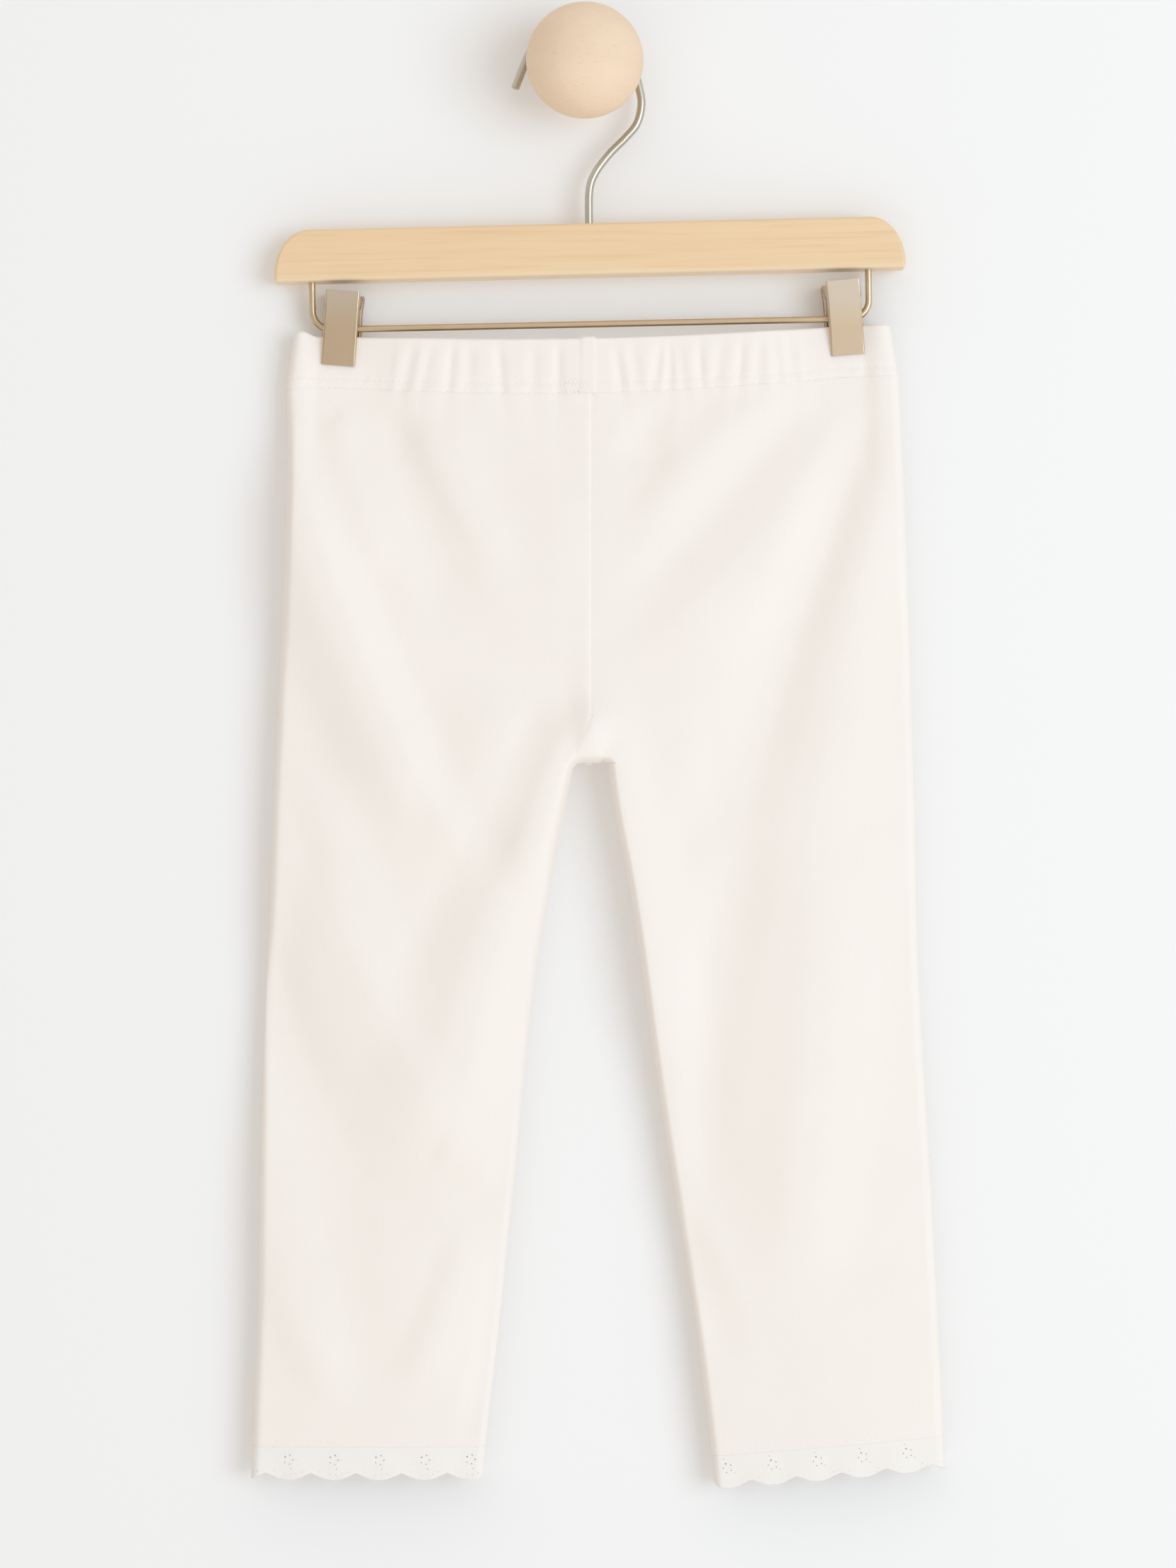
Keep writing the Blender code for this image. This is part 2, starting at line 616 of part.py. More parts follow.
def band_plan():
    """The band's outline seen from above: place along it, face, and how far its end folds close it."""
    front = [(x, -1, 1.0) for x in reversed(band_columns(True))]
    back = [(x, 1, 1.0) for x in band_columns(False)]
    turns = [math.radians(turn) for turn in (90, 60, 30)]
    ends = []
    for tip, side in ((BAND_RIGHT, 1), (BAND_LEFT, -1)):
        fold = [(tip - side * BAND_TIP_RADIUS * (1 - math.cos(a)), math.sin(a)) for a in turns]
        ends.append(
            [(x, side, off) for x, off in fold] + [(tip, side, 0.0)]
            + [(x, -side, off) for x, off in reversed(fold)]
        )
    return ends[0] + front + ends[1] + back


def build_waistband(jersey):
    """A closed ring of casing sections: two walls held together at the clips, open between them."""
    plan = band_plan()
    count = len(plan)
    middle_x = (BAND_LEFT + BAND_RIGHT) / 2
    shrink = 1 - BAND_WALL / (BAND_RIGHT - BAND_LEFT)
    rows = []
    for row in BAND_ROWS:
        line = []
        for x, face, close in plan:
            along = middle_x + (x - middle_x) * shrink * (1 - BAND_TOP_TAPER * row.height)
            line.append(Vector((along, face * band_opening(along) * close)))
        ring = []
        for k, (x, face, _) in enumerate(plan):
            step = line[(k + 1) % count] - line[k - 1]
            outward = Vector((-step.y, step.x)).normalized()
            raised = SEAM_STRIP_LEFT < x < SEAM_STRIP_RIGHT
            height = SEAM_STRIP_RAISE if raised else gather_height(x, face < 0)
            place = line[k] + outward * (row.side * BAND_WALL / 2 + row.gather * height)
            z = BAND_SEAM_Z + band_slant(x, row.height) + BAND_HEIGHT * row.height + GAP
            ring.append((place.x, HANGER_Y + place.y, z))
        rows.append(ring)
    points = [point for ring in rows for point in ring]
    faces = []
    for r in range(len(rows)):
        above = (r + 1) % len(rows)
        for k in range(count):
            after = (k + 1) % count
            faces.append((r * count + k, r * count + after, above * count + after, above * count + k))
    band = add_object("waistband", points, faces, jersey, 50)
    face_outwards(band)


def fold_height(folds, x, z):
    """Sum of the folds' ridges and troughs at a place on the cloth."""
    total = 0.0
    for fold in folds:
        dx, dz = fold.x_foot - fold.x_top, fold.z_foot - fold.z_top
        length = math.hypot(dx, dz)
        along = ((x - fold.x_top) * dx + (z - fold.z_top) * dz) / length**2
        if not 0 < along < 1:
            continue
        across = ((x - fold.x_top) * -dz + (z - fold.z_top) * dx) / length
        across -= fold.bow * 4 * along * (1 - along)
        taper = ease(along / FOLD_RISE) * ease((1 - along) / FOLD_FALL)
        width = fold.left if across < 0 else fold.right
        total += fold.height * taper * math.exp(-((across / width) ** 2))
    return total


def crotch_open(z):
    """1 where the body is one space, 0 where the legs are closed, rounding under between them."""
    down = (CROTCH_Z + CROTCH_ROUND - z) / CROTCH_ROUND
    return math.sqrt(1 - min(max(down, 0.0), 1.0) ** 2)


def gusset_half(z):
    """Half-width of the gusset at a height, 0 above its point."""
    t = (GUSSET_TOP_Z - z) / (GUSSET_TOP_Z - CROTCH_Z)
    return 0.0 if t < 0 else GUSSET_POINT + (GUSSET_HALF_WIDTH - GUSSET_POINT) * min(t, 1.0)


def inner_edge(leg, z):
    """Where the leg's panel ends: at the centre seam, along the gusset, then at the inner leg."""
    if z > CROTCH_Z + 1e-6:
        return CENTRE_SEAM_X + leg.side * (gusset_half(z) + GAP / 2)
    return read(leg.outline, "inner", z)


def half_depth(leg, x, z, share):
    """Outer half-depth of the cloth, taken from the waistband's at the top into the hanging form."""
    body = ease((z - CROTCH_Z) / 0.06)
    lens = FLAT_EDGE + (1 - FLAT_EDGE) * (body * (1 - share**2) + (1 - body) * 4 * share * (1 - share))
    hanging = read(DEPTHS, "half", z) * lens
    waist = band_opening(x) + BAND_WALL / 2 - 2 * GAP
    fade = ease((BAND_SEAM_Z - z) / WAIST_FADE)
    return waist * (1 - fade) + hanging * fade


def section_columns():
    """Columns of a panel from its inner edge to its side fold: share across, inner turn, outer turn."""
    columns = [(0.0, turn, 90) for turn in (0, 35, 65)]
    columns += [(i / FLAT_COLUMNS, 90, 90) for i in range(FLAT_COLUMNS + 1)]
    columns += [(1.0, 90, turn) for turn in (60, 30)]
    return columns


def panel_point(leg, column, face, z):
    """A point of the outer surface. face is -1 on the front and 1 on the back."""
    share, inner_turn, outer_turn = column
    inner, outer = inner_edge(leg, z), read(leg.outline, "outer", z)
    start = inner + leg.side * INNER_FOLD_RADIUS
    end = outer - leg.side * SIDE_FOLD_RADIUS
    x = start + (end - start) * share
    x -= leg.side * INNER_FOLD_RADIUS * math.cos(math.radians(inner_turn))
    x += leg.side * SIDE_FOLD_RADIUS * math.cos(math.radians(outer_turn))
    open_share = crotch_open(z) if z > CROTCH_Z else 0.0
    close = open_share + (1 - open_share) * math.sin(math.radians(inner_turn))
    close *= math.sin(math.radians(outer_turn))
    seam_part = ease(1 - (BAND_SEAM_Z - z) / SEAM_FADE)
    hem_part = ease(1 - (z - HEM_Z) / HEM_FADE)
    folds = fold_height(FRONT_FOLDS if face < 0 else BACK_FOLDS, x, z)
    folds *= ease((BAND_SEAM_Z - z) / FOLD_START)
    depth = (half_depth(leg, x, z, share) + folds) * close
    middle = read(DEPTHS, "middle", z)
    hem_middle = (read(leg.outline, "inner", HEM_Z) + read(leg.outline, "outer", HEM_Z)) / 2
    height = z + band_slant(x) * seam_part + leg.hem_slope * (x - hem_middle) * hem_part
    return Vector((x, middle + face * depth, height))


def panel_ring(leg, z):
    """One ring of a leg from the inner edge over the front, round the side fold and back."""
    columns = section_columns()
    front = [panel_point(leg, column, -1, z) for column in columns]
    side = panel_point(leg, (1.0, 90, 0), -1, z)
    back = [panel_point(leg, column, 1, z) for column in columns]
    return front + [side] + back[::-1]


def build_wall(name, rings, closed_from, material, thickness):
    """A cloth wall inside rings of its outer surface. Rings from closed_from on are closed at their ends."""
    points, index = [], []
    for r, ring in enumerate(rings):
        row = []
        for k, point in enumerate(ring):
            if r >= closed_from and k == len(ring) - 1:
                row.append(row[0])
                continue
            row.append(len(points))
            points.append(point)
        index.append(row)
    faces = []
    for upper, lower in zip(index, index[1:]):
        for k in range(len(upper) - 1):
            a, b, c, d = upper[k], lower[k], lower[k + 1], upper[k + 1]
            # Each four-sided patch is split along its more level diagonal, so the folds run smoothly
            if abs(points[a].y - points[c].y) < abs(points[b].y - points[d].y):
                faces += [(a, b, c), (a, c, d)]
            else:
                faces += [(a, b, d), (b, c, d)]
    obj = add_object(name, points, faces, material)
    wall = obj.modifiers.new("Wall", "SOLIDIFY")
    wall.thickness = thickness
    wall.offset = -1
    wall.use_even_offset = True
    wall.use_quality_normals = True
    return obj


def leg_heights():
    rows = list(BODY_ROWS) + [CROTCH_Z + step for step in CROTCH_ROWS] + [CROTCH_Z]
    first = CROTCH_Z - FIRST_LEG_ROW
    rows += [first + (HEM_Z - first) * i / LEG_ROWS for i in range(LEG_ROWS + 1)]
    return rows


def build_leg(leg, jersey):
    heights = leg_heights()
    rings = [panel_ring(leg, z) for z in heights]
    if leg.side < 0:
        rings = [ring[::-1] for ring in rings]
    build_wall(leg.name, rings, heights.index(CROTCH_Z), jersey, JERSEY_WALL)


def build_gusset(jersey):
    """A diamond whose middle is folded under the crotch, between the two panels' edges."""
    rows = [GUSSET_TOP_Z - 0.001, GUSSET_MIDDLE_Z] + [CROTCH_Z + step for step in CROTCH_ROWS]
    path = [(-1, z) for z in rows] + [(0, CROTCH_Z + 1e-5)] + [(1, z) for z in rows[::-1]]
    rings = []
    for face, z in path:
        half = max(gusset_half(z) - GAP, 0.0002)
        depth = half_depth(LEGS[0], CENTRE_SEAM_X, z, 0.0) * (crotch_open(z) if face else 0.0)
        y = read(DEPTHS, "middle", z) + face * depth
        ring = [Vector((CENTRE_SEAM_X + half * share, y, z)) for share in (-1, -0.33, 0.33, 1)]
        rings.append(ring)
    build_wall("crotch_gusset", rings, len(rings), jersey, JERSEY_WALL)


def build_lace(leg, lace):
    """A closed ring below the hem, whose lower edge runs in scallops."""
    hem = panel_ring(leg, HEM_Z)[:-1]
    foot = panel_ring(leg, HEM_Z - LACE_HEIGHT)[:-1]

    def lengths(ring):
        steps = [(ring[(i + 1) % len(ring)] - ring[i]).length for i in range(len(ring))]
        return np.concatenate([[0.0], np.cumsum(steps)])

    def at(ring, lengths_of, share):
        goal = share * lengths_of[-1]
        i = min(int(np.searchsorted(lengths_of, goal, side="right")) - 1, len(ring) - 1)
        part = (goal - lengths_of[i]) / (lengths_of[i + 1] - lengths_of[i])
        return ring[i].lerp(ring[(i + 1) % len(ring)], part)

    hem_lengths, foot_lengths = lengths(hem), lengths(foot)
    count = LACE_SCALLOPS * LACE_COLUMNS
    rings = [[], [], []]
    for k in range(count + 1):
        share = (k % count) / count
        top, low = at(hem, hem_lengths, share), at(foot, foot_lengths, share)
        wave = abs(math.sin(math.pi * k / LACE_COLUMNS))
        scallop = LACE_SCALLOP_DEPTH * (1 - wave)
        for ring, part in zip(rings, (0.0, 0.5, 1.0)):
            point = top.lerp(low, part)
            point.z += scallop * part - GAP * (1 - part)
            ring.append(point)
    if leg.side < 0:
        rings = [ring[::-1] for ring in rings]
    build_wall(leg.lace, rings, 0, lace, LACE_WALL)


def main():
    clear_scene()
    beech = finish("beech", (0.80, 0.62, 0.45), 0.55)
    maple = finish("maple", (0.83, 0.66, 0.42), 0.45)
    nickel = finish("nickel", (0.62, 0.57, 0.50), 0.32, 1.0)
    plate = finish("satin_plate", (0.60, 0.52, 0.44), 0.40, 1.0)
    jersey = finish("white_jersey", (0.90, 0.89, 0.86), 0.90)
    lace = finish("cotton_lace", (0.90, 0.88, 0.84), 0.92)

    build_knob(beech)
    build_bar(maple)
    build_hook(nickel)
    build_rod(nickel)
    for clip in CLIPS:
        build_clip(clip, plate, nickel)
    build_waistband(jersey)
    for leg in LEGS:
        build_leg(leg, jersey)
        build_lace(leg, lace)
    build_gusset(jersey)


main()
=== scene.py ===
import math
from collections import namedtuple

import bmesh
import bpy
import numpy as np
from mathutils import Matrix, Vector, noise


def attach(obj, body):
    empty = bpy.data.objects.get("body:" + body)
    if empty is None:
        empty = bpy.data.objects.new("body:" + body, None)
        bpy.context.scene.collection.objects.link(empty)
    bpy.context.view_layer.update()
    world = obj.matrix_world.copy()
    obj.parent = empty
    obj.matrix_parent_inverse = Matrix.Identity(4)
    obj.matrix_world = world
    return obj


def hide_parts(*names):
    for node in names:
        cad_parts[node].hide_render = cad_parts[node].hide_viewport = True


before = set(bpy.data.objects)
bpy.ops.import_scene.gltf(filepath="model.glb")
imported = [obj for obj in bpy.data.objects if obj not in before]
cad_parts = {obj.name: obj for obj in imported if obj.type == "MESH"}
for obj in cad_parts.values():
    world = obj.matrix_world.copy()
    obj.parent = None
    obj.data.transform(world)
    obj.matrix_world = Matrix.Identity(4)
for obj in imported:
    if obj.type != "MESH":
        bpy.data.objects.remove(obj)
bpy.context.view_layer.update()        # a child's capri leggings on a clip hanger, in metres, the wall at y = 0

# Camera: level, square to the wall, and far enough off that the garment hardly tapers. The long side
# of its sensor stands upright, as the picture does. Colours are shown as they are, without a film look.
CAMERA_PLACE = (0.0015, -1.813, -0.3401)
CAMERA_LENS = 86.8
bpy.ops.object.camera_add(location=CAMERA_PLACE, rotation=(math.pi / 2, 0, 0))
camera = bpy.context.object
camera.name = "camera"
camera.data.lens = CAMERA_LENS
bpy.context.scene.camera = camera
bpy.context.scene.view_settings.view_transform = "Standard"


class Socket:
    """One output of a shader node. Sums on it add Math nodes, and node() adds any other kind."""

    def __init__(self, tree, output=None):
        self.tree = tree
        self.output = output

    def node(self, kind, settings=None, sockets=None, output=0):
        """A new node: its settings are set first, then the values or links of its sockets."""
        made = self.tree.nodes.new("ShaderNode" + kind)
        for name, value in (settings or {}).items():
            setattr(made, name, value)
        for name, value in (sockets or {}).items():
            if isinstance(value, Socket):
                self.tree.links.new(value.output, made.inputs[name])
            else:
                made.inputs[name].default_value = value
        return Socket(self.tree, made.outputs[output])

    def work_out(self, operation, first, second):
        return self.node("Math", {"operation": operation}, {0: first, 1: second})

    def __add__(self, other):
        return self.work_out("ADD", self, other)

    __radd__ = __add__

    def __sub__(self, other):
        return self.work_out("SUBTRACT", self, other)

    def __rsub__(self, other):
        return self.work_out("SUBTRACT", other, self)

    def __mul__(self, other):
        return self.work_out("MULTIPLY", self, other)

    __rmul__ = __mul__

    def blend(self, low, high):
        """The colour low where this is 0 and high where it is 1."""
        colours = {6: low, 7: high}
        for name, value in colours.items():
            if not isinstance(value, Socket):
                colours[name] = (*value, 1)
        return self.node("Mix", {"data_type": "RGBA"}, {0: self, **colours}, 2)


# Studio: a pale wall, which is clear from behind so that the back of the garment can be seen, and a
# pale floor. A broad cool light stands level to the right, and warmer light comes from all round,
# with a darker band at eye height for the metals to mirror.
WALL_Y = 0.0006
FLOOR_Z = -1.25
WALL_WHITE = (0.885, 0.885, 0.885)
FLOOR_WHITE = (0.80, 0.80, 0.79)
KEY_PLACE = (2.05, -2.82, -0.34)
KEY_TARGET = (0, 0, -0.34)
KEY_SIZE = 2.3
KEY_POWER = 42.0
KEY_COLOUR = (0.84, 1.00, 1.15)
ROOM_STRENGTH = 0.905
ROOM_COLOUR = (1.045, 1.00, 0.952)
ROOM_BAND = 0.45
ROOM_BAND_HEIGHT = 0.24
ROOM_SLOPE = -0.12


def measure(place, axis):
    """One coordinate of a place."""
    return place.node("SeparateXYZ", {}, {0: place}, axis)


def stage_plane(name, size, location, rotation, colour):
    bpy.ops.mesh.primitive_plane_add(size=size, location=location, rotation=rotation)
    plane = bpy.context.object
    plane.name = name
    bpy.ops.object.transform_apply(location=True, rotation=True, scale=True)
    paint = bpy.data.materials.new(name)
    paint.use_nodes = True
    shader = paint.node_tree.nodes["Principled BSDF"]
    shader.inputs["Base Color"].default_value = (*colour, 1)
    shader.inputs["Roughness"].default_value = 0.9
    shader.inputs["Specular IOR Level"].default_value = 0.1
    plane.data.materials.append(paint)
    plane.visible_diffuse = False
    return plane, paint.node_tree


stage_plane("floor", 8, (0, 0, FLOOR_Z), (0, 0, 0), FLOOR_WHITE)
wall, wall_tree = stage_plane("wall", 8, (0, WALL_Y, FLOOR_Z + 4), (math.pi / 2, 0, 0), WALL_WHITE)
start = Socket(wall_tree)
behind = start.node("NewGeometry", output="Backfacing")
clear = start.node("BsdfTransparent")
painted = Socket(wall_tree, wall_tree.nodes["Principled BSDF"].outputs[0])
surface = start.node("MixShader", {}, {0: behind, 1: painted, 2: clear})
wall_tree.links.new(surface.output, wall_tree.nodes["Material Output"].inputs["Surface"])
wall.visible_shadow = False

toward = Vector(KEY_TARGET) - Vector(KEY_PLACE)
bpy.ops.object.light_add(
    type="AREA", location=KEY_PLACE, rotation=toward.to_track_quat("-Z", "Y").to_euler()
)
key = bpy.context.object
key.name = "window"
key.data.shape = "DISK"
key.data.size = KEY_SIZE
key.data.energy = KEY_POWER
key.data.color = KEY_COLOUR
key.visible_camera = False

room = bpy.data.worlds.new("room")
room.use_nodes = True
bpy.context.scene.world = room
start = Socket(room.node_tree)
rise = measure(start.node("TexCoord", output="Generated"), "Z")
band = start.node("Math", {"operation": "EXPONENT"}, {0: rise * rise * (-1 / ROOM_BAND_HEIGHT**2)})
strength = (1 - band * ROOM_BAND + rise * ROOM_SLOPE) * ROOM_STRENGTH
sky = room.node_tree.nodes["Background"]
room.node_tree.links.new(strength.output, sky.inputs["Strength"])
sky.inputs["Color"].default_value = (*ROOM_COLOUR, 1)


# Wall knob: a ball on a short neck, turned from one piece of beech and sanded smooth, with no varnish.
# It came off the lathe a little flatter than a true ball, and its flat back lies on the wall.
KNOB_RADIUS = 0.0276
KNOB_FLATTENING = 0.98
KNOB_NECK_RADIUS = 0.019
KNOB_NECK_LENGTH = 0.0165
KNOB_FOOT_EDGE = 0.0006
BEECH_TONES = ((0.800, 0.618, 0.448), (0.872, 0.700, 0.526))
BEECH_FLECK = (0.700, 0.500, 0.330)
SMOOTH_ANGLE = math.radians(35)


def finish(name, space="Object", **fixed):
    """A material, the places on it in that space, and its shader with what is the same all over."""
    made = bpy.data.materials.new(name)
    made.use_nodes = True
    shader = made.node_tree.nodes["Principled BSDF"]
    for socket, value in fixed.items():
        shader.inputs[socket.replace("_", " ")].default_value = value
    return made, Socket(made.node_tree).node("TexCoord", output=space), shader


def feed(shader, tone, relief, strength, distance, **looks):
    """Links the colour, a bump from the relief and what else changes over the surface to the shader."""
    sockets = {"Strength": strength, "Distance": distance, "Height": relief}
    looks.update(Base_Color=tone, Normal=tone.node("Bump", {}, sockets))
    for socket, value in looks.items():
        value.tree.links.new(value.output, shader.inputs[socket.replace("_", " ")])


def drawn_out(place, scale, turn=0.0):
    """The place turned about Y and scaled, which draws a pattern out along the axes scaled least."""
    return place.node("Mapping", {}, {"Vector": place, "Scale": scale, "Rotation": (0, turn, 0)})


def speckle(place, scale, detail, roughness=0.5, distortion=0.0):
    """Soft random values over the place, their spots about 1 / scale wide."""
    sockets = {"Scale": scale, "Detail": detail, "Roughness": roughness, "Distortion": distortion}
    return place.node("TexNoise", {}, {"Vector": place, **sockets})


def ramp(value, low, high):
    """0 where the value is below low, 1 where it is above high, and evenly rising between."""
    made = value.node("ValToRGB", {}, {0: value})
    stops = made.output.node.color_ramp.elements
    stops[0].position, stops[1].position = low, high
    return made


def settle(piece, slot, *nodes):
    """The piece rides on the one body and stands for the nodes, which are hidden. The slot is not used."""
    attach(piece, "root")
    if nodes:
        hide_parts(*nodes)


def select_only(piece):
    bpy.ops.object.select_all(action="DESELECT")
    piece.select_set(True)
    bpy.context.view_layer.objects.active = piece


def apply_modifier(piece, kind, **values):
    """Adds a modifier with these values and applies it."""
    select_only(piece)
    modifier = piece.modifiers.new(kind, kind)
    for name, value in values.items():
        setattr(modifier, name, value)
    bpy.ops.object.modifier_apply(modifier=modifier.name)


def open_up(name):
    """Names the object just added, applies its place and size, and opens it for editing."""
    piece = bpy.context.object
    piece.name = name
    bpy.ops.object.transform_apply(location=True, rotation=True, scale=True)
    bpy.ops.object.mode_set(mode="EDIT")
    return piece


def close_up():
    """Turns the faces of the piece that is being edited outwards, and ends the edit."""
    bpy.ops.mesh.select_all(action="SELECT")
    bpy.ops.mesh.normals_make_consistent(inside=False)
    bpy.ops.object.mode_set(mode="OBJECT")


beech, place, shader = finish("beech", Specular_IOR_Level=0.3)
cloud = speckle(drawn_out(place, (1, 1, 5), 0.06), 22, 3)
fleck_place = drawn_out(place, (1, 1, 7.5), 0.04)
fleck = speckle(fleck_place, 260, 2, 0.6)
pore = speckle(fleck_place, 700, 2)
tone = cloud.blend(*BEECH_TONES)
tone = (ramp(fleck, 0.60, 0.72) * 0.42).blend(tone, BEECH_FLECK)
feed(shader, tone, fleck + pore, 0.35, 0.00008, Roughness=0.58 + cloud * 0.10)

knob_centre = KNOB_NECK_LENGTH + math.sqrt(KNOB_RADIUS**2 - KNOB_NECK_RADIUS**2)
bpy.ops.mesh.primitive_uv_sphere_add(
    segments=96, ring_count=64, radius=KNOB_RADIUS,
    location=(0, -knob_centre, 0), rotation=(math.pi / 2, 0, 0), scale=(1, KNOB_FLATTENING, 1),
)
knob = open_up("turned_knob")
bpy.ops.mesh.bisect(plane_co=(0, -KNOB_NECK_LENGTH, 0), plane_no=(0, 1, 0), clear_outer=True)
neck_run = KNOB_NECK_LENGTH - KNOB_FOOT_EDGE
bpy.ops.mesh.extrude_region_move(TRANSFORM_OT_translate={"value": (0, neck_run, 0)})
bpy.ops.mesh.extrude_region_move(TRANSFORM_OT_translate={"value": (0, KNOB_FOOT_EDGE, 0)})
foot = 1 - KNOB_FOOT_EDGE / KNOB_NECK_RADIUS
bpy.ops.transform.resize(value=(foot, 1, foot))
bpy.ops.mesh.edge_face_add()
close_up()
bpy.ops.object.shade_smooth_by_angle(angle=SMOOTH_ANGLE)
knob.data.materials.append(beech)
settle(knob, "beech", "wall_knob")


# Hanger bar: planed maple with softened edges and a thin clear varnish. Its ends are rounded off, more
# downwards than along.
# The grain runs along it, and a pale band follows its lower edge: a sapwood tone, made paler as painted light
# on the underside.
HANGER_Y = -0.011
HANGER_TILT = math.radians(1.2)
BAR_CENTRE_X = 0.0020
BAR_TOP_Z = -0.0736
BAR_LENGTH = 0.300
BAR_HEIGHT = 0.0246
BAR_THICKNESS = 0.014
BAR_CORNER_RUN = 0.0165
BAR_CORNER_DROP = 0.0223
BAR_TILT = math.radians(1.35)
BAR_EDGE = 0.0016
SAP_AND_LIGHT_SHARPNESS = 240
MAPLE_TONES = ((0.805, 0.568, 0.330), (0.855, 0.655, 0.415))
MAPLE_LINE = (0.710, 0.460, 0.235)
MAPLE_SAP_AND_PAINTED_LIGHT = (0.840, 0.665, 0.450)


def to_hanger(x, z, y=0.0):
    """A point of the hanger's own upright frame, whose origin is the middle of the bar's top."""
    lean = Matrix.Rotation(-HANGER_TILT, 3, "Y")
    return lean @ Vector((x, y, z)) + Vector((BAR_CENTRE_X, HANGER_Y, BAR_TOP_Z))


def select_edges(piece, wanted):
    """In edit mode, selects each edge whose two ends both pass the test."""
    bpy.ops.mesh.select_mode(type="EDGE")
    bpy.ops.mesh.select_all(action="DESELECT")
    form = bmesh.from_edit_mesh(piece.data)
    for edge in form.edges:
        if all(wanted(end.co) for end in edge.verts):
            edge.select_set(True)
    bmesh.update_edit_mesh(piece.data)


maple, place, shader = finish("maple", Specular_IOR_Level=0.45, Coat_Roughness=0.30)
level = drawn_out(place, (1, 1, 1), BAR_TILT)
wide = speckle(drawn_out(level, (1.2, 9, 26)), 6, 4, distortion=0.6)
line = speckle(drawn_out(level, (1, 30, 48)), 16, 5, 0.62)
pore = speckle(drawn_out(level, (1, 12, 14)), 210, 2)
# Painted light: a paler band along the lower edge, partly a sapwood tone and partly light falling on the bar's
# underside.
above = measure(level, "Z") - to_hanger(0, -BAR_HEIGHT).z
sap_and_painted_light = 1 - ramp(above * SAP_AND_LIGHT_SHARPNESS + wide * 1.3 - 0.75, 0.12, 0.62)
tone = wide.blend(*MAPLE_TONES)
tone = (ramp(line, 0.50, 0.66) * 0.34).blend(tone, MAPLE_LINE)
tone = (sap_and_painted_light * 0.80).blend(tone, MAPLE_SAP_AND_PAINTED_LIGHT)
feed(
    shader, tone, line + pore, 0.25, 0.00006,
    Roughness=0.40 + line * 0.12, Coat_Weight=0.25 + wide * 0.1,
)

bpy.ops.mesh.primitive_cube_add(
    size=1, location=(0, 0, -BAR_HEIGHT / 2), scale=(BAR_LENGTH, BAR_THICKNESS, BAR_HEIGHT)
)
bar = open_up("bar_of_hanger")
for side in (-1, 1):
    select_edges(bar, lambda end: side * end.x > 0.49 * BAR_LENGTH and end.z > -0.01 * BAR_HEIGHT)
    bpy.ops.mesh.bevel(offset=BAR_CORNER_RUN, segments=18, affect="EDGES")
select_edges(bar, lambda end: end.z > -BAR_CORNER_RUN - 1e-5)
stretch = BAR_CORNER_DROP / BAR_CORNER_RUN
bpy.ops.transform.resize(value=(1, 1, stretch), center_override=(0, 0, 0))
bpy.ops.object.mode_set(mode="OBJECT")
apply_modifier(
    bar, "BEVEL", width=BAR_EDGE, segments=4, limit_method="ANGLE", angle_limit=math.radians(50),
    use_clamp_overlap=False,
)
bar.data.transform(Matrix.Translation(to_hanger(0, 0)) @ Matrix.Rotation(-BAR_TILT, 4, "Y"))
bpy.ops.object.shade_smooth_by_angle(angle=SMOOTH_ANGLE)
apply_modifier(bar, "WEIGHTED_NORMAL", keep_sharp=True)
bar.data.materials.append(maple)
settle(bar, "maple", "hanger_bar")


# Hook and rod: steel wire with a brushed nickel plate, warmer on the rod. The hook is bent over the
# knob's neck and let into the bar's top. The rod is a wide U let into the bar's underside.
HOOK_WIRE = 0.0039
HOOK_ARC_RADIUS = 0.027
HOOK_ARC_X = -0.0028
HOOK_ARC_START = 11
HOOK_ARC_END = 160
HOOK_ARC_STEPS = 44
HOOK_TIP_LENGTH = 0.0140
HOOK_SEAT_GAP = 0.0003
SOCKET_DEPTH = 0.012
WIRE_CHAMFER = 0.0005
HOOK_FOOT_Z = -0.084
Bend = namedtuple("Bend", "x z")
HOOK_BENDS = (
    Bend(0.0258, -0.0080),
    Bend(0.0270, -0.0160),
    Bend(0.0249, -0.0252),
    Bend(0.0191, -0.0324),
    Bend(0.0117, -0.0398),
    Bend(0.0050, -0.0488),
    Bend(0.0022, -0.0570),
)
ROD_WIRE = 0.0032
ROD_HALF_SPAN = 0.1326
ROD_DROP = 0.0474
ROD_BEND_RADIUS = 0.009
ROD_TONES = ((0.602, 0.466, 0.307), (0.714, 0.575, 0.398))
HOOK_TONES = ((0.500, 0.465, 0.380), (0.605, 0.572, 0.490))


def smooth_through(points, steps):
    """Points on a smooth curve through the given ones."""
    path = [Vector(p) for p in points]
    path = [2 * path[0] - path[1]] + path + [2 * path[-1] - path[-2]]
    out = []
    for a, b, c, d in zip(path, path[1:], path[2:], path[3:]):
        for step in range(steps):
            t = step / steps
            out.append(
                0.5 * (2 * b + (c - a) * t + (2 * a - 5 * b + 4 * c - d) * t**2
                       + (3 * b - a - 3 * c + d) * t**3)
            )
    return out + [path[-2]]


def add_piece(name, data):
    """A new object with this mesh or curve, the only one selected."""
    piece = bpy.data.objects.new(name, data)
    bpy.context.scene.collection.objects.link(piece)
    select_only(piece)
    return piece


